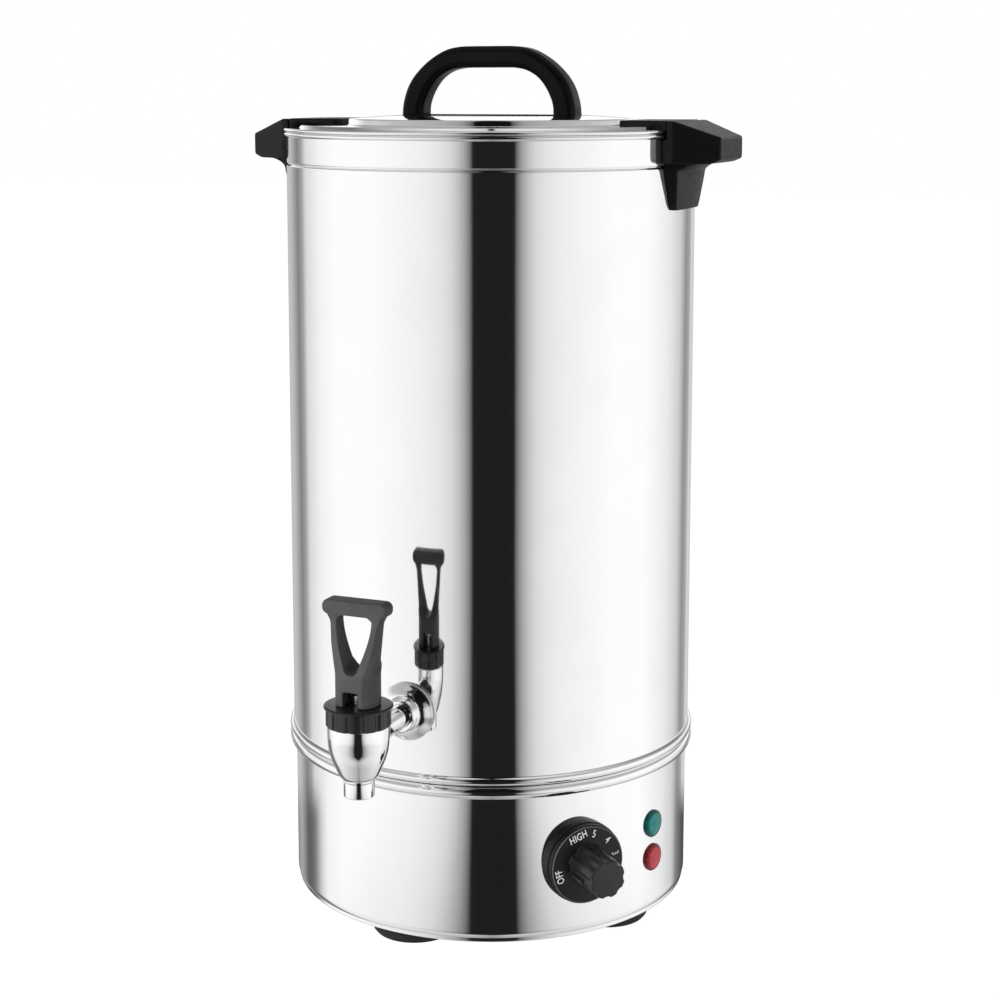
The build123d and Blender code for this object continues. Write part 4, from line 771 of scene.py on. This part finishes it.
bonnet_layers = [(172.0, 0.97, 1), (172.15, 0.985, 1), (172.5, 1.0, 1), (182.9, 1.0, 1)]
bonnet_sides = fluted("bonnet_sides", bonnet_layers, spout, count=13, centre_out=0.9, cut_r=2.0, radius=19.5)
bonnet_lip = lathe("bonnet_lip", rounded([
    (0, 182.8), (20.0, 182.8, 0.3), (20.8, 183.1, 0.3), (20.8, 184.0, 0.5), (19.8, 184.5, 0.4), (0, 184.5)]),
    spout, TAP_SEGMENTS, closed=False)
dress(joined("bonnet_cap", [bonnet_sides, bonnet_lip]), tap_black, "urn", "tap_black", "tap_bonnet")

# ---- tap lever ----
LEVER_FOOT = 6.5               # height of the part that fits the bonnet and the pin, left as it is
LEVER_BLOCK_UP = 3.6
LEGS_SLIMMER = 0.10
LEGS_FLARE = 0.085
BAR_DEEPER = 0.20
lever_low, lever_high = (corner[2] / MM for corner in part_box("tap_lever"))
z_bar = lever_high - 9.0
z_block = lever_low + 15.0


def lever_form(x, y, z):
    """Raises the block's top, slims the legs, flares them into the bar and deepens the bar."""
    if lever_low + LEVER_FOOT < z < z_bar:
        if z < z_block:
            z += LEVER_BLOCK_UP * (z - lever_low - LEVER_FOOT) / (z_block - lever_low - LEVER_FOOT)
        else:
            z = (z_block + LEVER_BLOCK_UP
                 + (z - z_block) * (z_bar - z_block - LEVER_BLOCK_UP) / (z_bar - z_block))
    slim = 1.0 - LEGS_SLIMMER * smooth_step(z, z_block + 8.0, z_bar - 6.0)
    slim += BAR_DEEPER * smooth_step(z, z_bar - 2.5, z_bar + 1.0)
    flare = LEGS_FLARE * smooth_step(z, z_bar - 5.0, z_bar) * smooth_step(abs(x), 12.5, 15.0)
    flare *= 1.0 - smooth_step(abs(x), 16.2, 17.6)
    if z > z_bar + 0.6:
        flare = 0.0
    return x * (1 + flare), TAP_Y + (y - TAP_Y) * slim, z


lever = moulded("lever_loop", "tap_lever", voxel=0.32, rounds=5, warp=lever_form)
dress(lever, lever_black, "lever", "tap_black", "tap_lever")

# ---- spring under the bonnet ----
SPRING_TURNS = 6
SPRING_R = 5.8
SPRING_LOW, SPRING_HIGH = 158.6, 180.9
WIRE_R = 0.6
WIRE_SIDES = 8
spring_steps = SPRING_TURNS * 28
coil = []
for k in range(spring_steps + 1):
    t = k / spring_steps
    a = 2 * pi * SPRING_TURNS * t
    centre = Vector((SPRING_R * cos(a), SPRING_R * sin(a), SPRING_LOW + (SPRING_HIGH - SPRING_LOW) * t))
    out_dir = Vector((cos(a), sin(a), 0))
    coil.append([tuple(centre + out_dir * WIRE_R * cos(2 * pi * m / WIRE_SIDES)
                       + Vector((0, 0, WIRE_R * sin(2 * pi * m / WIRE_SIDES)))) for m in range(WIRE_SIDES)])
spring = skin("valve_spring", coil, spout, False, 60.0)
dress(spring, fixings, "urn", "fixings", "plunger_spring")
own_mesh(spring)

# ---- control dial: fixed ring, disc with its marks, and fluted grip with a rib at OFF ----
DIAL_SEGMENTS = 160
KNOB_FACE = 9.5
KNOB_TIP = 36.5
KNOB_TAPER = 0.065
KNOB_TIP_SCALE = 0.935
KNOB_EDGE = 3.0                # rounded edge round the tip, over which the flutes fade
KNOB_EDGE_IN = 0.13
FLUTE_FADE = 0.45
RIB_TURN = -104.0              # clockwise from the top, as the marks' turns are
RIB_R = 11.4
RIB_HEIGHT = 17.5
dial_place = wall(DIAL_ANGLE, DIAL_Z, SKIRT_R)
bezel = lathe("dial_ring", rounded([
    (19.0, -3.0), (26.2, -3.0), (26.2, 4.4, 0.5), (25.4, 5.0, 0.4), (19.0, 5.0)]), dial_place, DIAL_SEGMENTS)
dress(bezel, dial_black, "urn", "dial_black", "dial_bezel")
disc = lathe("knob_disc", rounded([
    (3.0, 5.4), (25.2, 5.4, 0.3), (25.6, 5.8, 0.3), (25.6, 8.3, 0.4), (24.6, 9.3, 0.4), (24.0, KNOB_FACE),
    (3.0, KNOB_FACE)]), dial_place, DIAL_SEGMENTS)
dress(disc, dial_black, "dial", "dial_black", "control_knob")
knob_layers = [(KNOB_FACE - 0.2, 1.035, 1.0), (KNOB_FACE + 0.5, 1.0, 1.0)]
knob_layers += [(KNOB_FACE + 24.0 * k / 6, 1.0 - KNOB_TAPER * k / 6, 1.0) for k in range(1, 7)]
knob_layers += [(KNOB_TIP - KNOB_EDGE + KNOB_EDGE * sin(radians(a)),
                 KNOB_TIP_SCALE - KNOB_EDGE_IN * (1 - cos(radians(a))), 1.0 - a / 90 * FLUTE_FADE)
                for a in (15, 30, 45, 60, 75, 90)]
flutes = fluted("knob_flutes", knob_layers, dial_place, count=8, centre_out=2.6, cut_r=4.2, radius=13.6)
rib_outline = rounded([(-1.7, 0.0), (-1.5, 3.0, 0.8), (1.5, 3.0, 0.8), (1.7, 0.0)], closed=True)
rib_place = dial_place @ Matrix.Rotation(radians(-RIB_TURN), 4, "Z") @ at(0, RIB_R)
rib = slab("knob_rib", rib_outline, KNOB_FACE - 0.2, KNOB_FACE + RIB_HEIGHT, 0.8, rib_place)
# The grip wears the lighter black, a painted highlight on its flutes.
dress(joined("knob_grip", [flutes, rib]), knob_black_painted_highlight, "dial", "dial_black")
line = lathe("dial_edge_line", [(24.75, 9.15), (24.55, 9.42), (24.3, 9.5), (24.3, 9.53), (24.62, 9.45),
                                (24.85, 9.15)], dial_place, DIAL_SEGMENTS)
dress(line, dial_line, "dial", "dial_black")

MARKS = {"HIGH": -19.4, "5": 13.0, "4": 45.0, "3": 77.0, "2": 109.0, "1": 141.0, "OFF": -104.0}
MARK_R = 20.0
MARK_SIZE = 6.75
MARK_NARROW = 0.74
MARK_THICK = 0.03
MARK_BOLD = 0.07
MARK_SPACING = 1.08
for word, turn in MARKS.items():
    curve = bpy.data.curves.new(f"mark_{word}", "FONT")
    curve.body = word
    curve.size = MARK_SIZE
    curve.align_x = "CENTER"
    curve.align_y = "CENTER"
    curve.extrude = MARK_THICK
    curve.offset = MARK_BOLD
    curve.space_character = MARK_SPACING
    mesh = settled(placed(f"mark_{word}", curve))
    mesh.transform(dial_place @ Matrix.Rotation(radians(-turn), 4, "Z") @ at(0, MARK_R, KNOB_FACE + 0.04)
                   @ Matrix.Diagonal((MARK_NARROW, 1, 1, 1)))
    mesh.transform(Matrix.Scale(MM, 4))
    dress(placed(f"mark_{word}", mesh), mark_white, "dial", "dial_black")

# ---- lamps: a rim and a domed eye each ----
for colour, (rim_lens, eye_lens) in LENSES.items():
    place = wall(LAMP_ANGLE, LAMP_HEIGHTS[colour], SKIRT_R)
    ring = lathe(f"{colour}_lens_rim", rounded([
        (6.0, -0.4), (9.0, -0.4), (9.0, 0.9, 0.5), (8.3, 1.7, 0.4), (7.5, 2.0, 0.3), (6.0, 2.0)]), place, 96)
    dress(ring, rim_lens, "urn", f"lamp_{colour}", f"{colour}_lamp_lens")
    eye = lathe(f"{colour}_lens_eye", [(0, 1.2), (7.0, 1.2), (7.0, 2.0)] + arc(6.5, 2.0, 0.5, 0, 60, 4)
                + [(5.8, 2.6), (4.5, 2.85), (3.0, 3.0), (1.5, 3.08), (0, 3.1)], place, 96, closed=False)
    dress(eye, eye_lens, "urn", f"lamp_{colour}")

# ---- feet and cord gland ----
foot_profile = rounded([
    (6.0, 0.0), (25.5, 0.0, 1.0), (27.4, 2.2, 1.5), (28.4, 6.0, 0.5), (28.0, 6.4, 0.2), (28.5, 6.9, 0.3),
    (28.9, 9.5, 0.8), (26.0, 10.6, 0.5), (26.0, 12.0), (2.3, 12.0), (2.3, 6.0), (6.0, 6.0, 0.4)])
feet = []
for angle in FOOT_ANGLES:
    a = radians(angle)
    feet.append(lathe("foot", foot_profile, at(FOOT_CENTRE_R * sin(a), -FOOT_CENTRE_R * cos(a)), 96))
dress(joined("rubber_feet_set", feet), rubber, "urn", "foot_rubber", "rubber_feet")

gland = lathe("cord_gland", rounded([
    (4.0, -10.0), (8.0, -10.0), (8.0, 0.05), (11.5, 0.05), (11.5, 2.7, 0.6), (10.6, 3.2, 0.4),
    (9.4, 3.6, 0.4), (9.0, 6.0), (8.4, 10.0), (8.0, 12.2, 0.8), (7.0, 13.0, 0.5), (4.0, 13.0)]),
    wall(GLAND_ANGLE, GLAND_Z, SKIRT_R), 96)
dress(gland, gland_black, "urn", "gland_black", "cable_gland")

# ---- CAD nodes that keep their own shape ----
FINISH = {
    "base_plate": base_steel, "foot_screws": fixings, "foot_nuts": fixings, "tie_rods": fixings,
    "tie_rod_nuts": fixings, "lid_handle_screws": fixings, "lug_screws": fixings,
    "tap_outer_seal": silicone, "tap_inner_seal": silicone, "tap_nut": brass, "plunger_stem": fixings,
    "plunger_pin": fixings, "seat_cup": silicone, "thermostat_spindle": fixings,
    "thermostat_body": control_body, "thermostat_screws": fixings, "thermostat_sensor": copper,
    "lamp_bodies": lamp_shell, "lamp_nuts": fixings, "heat_spreader": spreader_metal,
    "heating_element": element_metal, "cutout_body": control_body, "cutout_sensor": copper,
    "reset_button": reset_red, "terminal_block": control_body, "terminal_screws": brass,
    "gland_nut": control_body,
}
for name, material in FINISH.items():
    mesh = nodes[name].data
    mesh.materials.clear()
    mesh.materials.append(material)

# ---- floor: near white to the camera, with the urn's shadow, and open to reflections ----
FLOOR_HALF = 9                 # metres
FLOOR_SHADED, FLOOR_GLOW, FLOOR_PLAIN = 0.28, 0.94, 0.8
floor_mesh = bpy.data.meshes.new("floor")
floor_mesh.from_pydata([(x * FLOOR_HALF, y * FLOOR_HALF, 0) for x, y in ((-1, -1), (1, -1), (1, 1), (-1, 1))],
                       [], [(0, 1, 2, 3)])
floor = placed("floor", floor_mesh)
floor_mat = bpy.data.materials.new("floor")
tree = cleared(floor_mat)
paths = tree.nodes.new("ShaderNodeLightPath")
seen = mixed(tree, "ShaderNodeAddShader", plain_shader(tree, "ShaderNodeBsdfDiffuse", FLOOR_SHADED),
             plain_shader(tree, "ShaderNodeEmission", FLOOR_GLOW))
by_camera = mixed(tree, "ShaderNodeMixShader", paths.outputs["Is Camera Ray"],
                  plain_shader(tree, "ShaderNodeBsdfDiffuse", FLOOR_PLAIN), seen)
by_gloss = mixed(tree, "ShaderNodeMixShader", paths.outputs["Is Glossy Ray"], by_camera,
                 plain_shader(tree, "ShaderNodeBsdfTransparent", 1.0))
tree.links.new(by_gloss, tree.nodes.new("ShaderNodeOutputMaterial").inputs["Surface"])
floor_mesh.materials.append(floor_mat)

# ---- world: soft boxes to both sides, a dark slot between them towards the camera, a grey band at each
# side behind, white above, and a darker floor line behind. Stops are (angle, light) ----
SLOT_MIDDLE = 1.4              # azimuth from the camera
SLOT_RANGE = 20.0              # half widths from -20 to 20 go into a ramp of 0 to 1
SLOT_HALF_WIDTH = [(-50, -20.0), (-43, 0.0), (-37, 13.0), (-30, 15.0), (-20, 12.0), (-14, 11.2), (3, 11.2),
                   (6, 15.5), (40, 15.5)]                                                # by elevation
SLOT_SOFTNESS = [(-32, 0.35), (-24.5, 0.42), (-22.5, 0.66), (-20, 1.0)]                  # by elevation
SLOT_EDGE = [(-2, 0.014), (0, 0.016), (1.6, 0.20), (4, 0.38), (8, 0.60), (12, 0.76), (18, 0.87), (26, 0.95),
             (40, 1.02), (60, 1.10)]                                                     # past the slot
BACK_LIGHT = [(-180, 0.45), (-158, 0.52), (-150, 0.46), (-138, 0.22), (-131, 0.36), (-126, 0.69),
              (-111, 0.91), (-96, 1.0), (96, 1.0), (118, 0.83), (133, 0.61), (142, 0.28), (150, 0.36),
              (156, 0.64), (180, 0.45)]                                                  # by azimuth
ABOVE_LIGHT = [(-1, 0.0), (4, 1.0), (12, 1.0), (22, 0.45), (45, 0.4), (70, 0.8)]         # by elevation
HIGH_LIGHT = [(10, 1.0), (26, 0.5), (45, 0.42), (70, 0.75)]                              # by elevation
LOW_LIGHT = [(-90, 0.40), (-60, 0.66), (-38, 1.0)]                                       # by elevation
LOW_DIM = [(-180, 0.9), (-160, 0.4), (-150, 0.2), (-142, 0.3), (-134, 0.6), (-126, 0.7), (-118, 0.2),
           (-112, 0.0), (137, 0.0), (146, 0.42), (154, 0.84), (180, 0.92)]               # by azimuth
LOW_DIM_BELOW = [(-20.6, 1.0), (-19.6, 0.0)]                                             # by elevation
ROOM_LIGHT = [(-90, 0.5), (0, 0.62), (15, 0.5), (32, 0.16), (60, 0.14), (90, 0.5)]       # by elevation

scene = bpy.context.scene
world = bpy.data.worlds.new("studio")
scene.world = world
tree = cleared(world)


def calc(operation, *values):
    return math_node(tree, operation, *values)


def ramp(value, low, high, stops):
    """Grey ramp over a range of angles."""
    node = tree.nodes.new("ShaderNodeValToRGB")
    elements = node.color_ramp.elements
    while len(elements) < len(stops):
        elements.new(0.5)
    for element, (angle, _) in zip(elements, stops):
        element.position = (angle - low) / (high - low)
    for element, (_, light) in zip(elements, stops):
        element.color = (light, light, light, 1)
    tree.links.new(spread(tree, value, 0.0, 1.0, low, high), node.inputs["Fac"])
    return node.outputs["Color"]


direction = tree.nodes.new("ShaderNodeTexCoord")
axes = tree.nodes.new("ShaderNodeSeparateXYZ")
tree.links.new(direction.outputs["Generated"], axes.inputs[0])
azimuth = calc("ARCTAN2", axes.outputs["X"], calc("MULTIPLY", axes.outputs["Y"], -1.0))
azimuth = calc("WRAP", calc("SUBTRACT", azimuth, radians(CAMERA_ANGLE)), pi, -pi)
azimuth = calc("MULTIPLY", azimuth, 180 / pi)
elevation = calc("MULTIPLY", calc("ARCSINE", axes.outputs["Z"]), 180 / pi)

slot_half = ramp(elevation, -90, 40, [(e, (w + SLOT_RANGE) / (2 * SLOT_RANGE)) for e, w in SLOT_HALF_WIDTH])
slot_half = calc("MULTIPLY_ADD", slot_half, 2 * SLOT_RANGE, -SLOT_RANGE)
past_slot = calc("SUBTRACT", calc("ABSOLUTE", calc("SUBTRACT", azimuth, SLOT_MIDDLE)), slot_half)
past_slot = calc("MULTIPLY", past_slot, ramp(elevation, -40, 0, SLOT_SOFTNESS))
front = ramp(past_slot, -2, 60, SLOT_EDGE)
back = calc("MAXIMUM", ramp(azimuth, -180, 180, BACK_LIGHT), ramp(elevation, -1, 70, ABOVE_LIGHT))
light = calc("MULTIPLY", calc("MULTIPLY", front, back), ramp(elevation, 0, 70, HIGH_LIGHT))
light = calc("MULTIPLY", light, ramp(elevation, -90, 0, LOW_LIGHT))
dim = calc("MULTIPLY", ramp(azimuth, -180, 180, LOW_DIM), ramp(elevation, -30, 0, LOW_DIM_BELOW))
light = calc("MULTIPLY", light, calc("SUBTRACT", 1.0, dim))

# Reflections see the studio, diffuse light comes from an even room, and the camera sees white.
studio = tree.nodes.new("ShaderNodeBackground")
room = tree.nodes.new("ShaderNodeBackground")
tree.links.new(light, studio.inputs["Color"])
tree.links.new(ramp(elevation, -90, 90, ROOM_LIGHT), room.inputs["Color"])
paths = tree.nodes.new("ShaderNodeLightPath")
soft = mixed(tree, "ShaderNodeMixShader", paths.outputs["Is Diffuse Ray"], studio.outputs[0], room.outputs[0])
shown = mixed(tree, "ShaderNodeMixShader", paths.outputs["Is Camera Ray"], soft,
              plain_shader(tree, "ShaderNodeBackground", 1.0))
tree.links.new(shown, tree.nodes.new("ShaderNodeOutputWorld").inputs["Surface"])

# ---- lamps: (azimuth from the camera, watts). Their lengths are in metres ----
SOFTBOXES = ((-38, 26.0), (46, 4.5))
SOFTBOX_SIZE = 1.2
SOFTBOX_REACH = 1.7
SOFTBOX_HEIGHT = 0.5
SOFTBOX_AIM = 0.25
for off_camera, watts in SOFTBOXES:
    lamp_data = bpy.data.lights.new("softbox", "AREA")
    lamp_data.shape = "SQUARE"
    lamp_data.size = SOFTBOX_SIZE
    lamp_data.energy = watts
    lamp = placed("softbox", lamp_data)
    a = radians(CAMERA_ANGLE + off_camera)
    lamp.location = (SOFTBOX_REACH * sin(a), -SOFTBOX_REACH * cos(a), SOFTBOX_HEIGHT)
    lamp.rotation_euler = (Vector((0, 0, SOFTBOX_AIM)) - lamp.location).to_track_quat("-Z", "Y").to_euler()
    lamp.visible_glossy = False

# ---- view ----
scene.view_settings.view_transform = "Standard"
camera_data = bpy.data.cameras.new("camera")
camera_data.sensor_width = CAMERA_SENSOR
camera_data.lens = CAMERA_LENS
camera_data.shift_x, camera_data.shift_y = CAMERA_SHIFT
camera_data.clip_end = CAMERA_CLIP
camera = placed("camera", camera_data)
turn = radians(CAMERA_ANGLE)
camera.location = (CAMERA_DISTANCE * sin(turn) * MM, -CAMERA_DISTANCE * cos(turn) * MM, CAMERA_HEIGHT * MM)
camera.rotation_euler = (radians(90 - CAMERA_PITCH), 0, turn)
scene.camera = camera
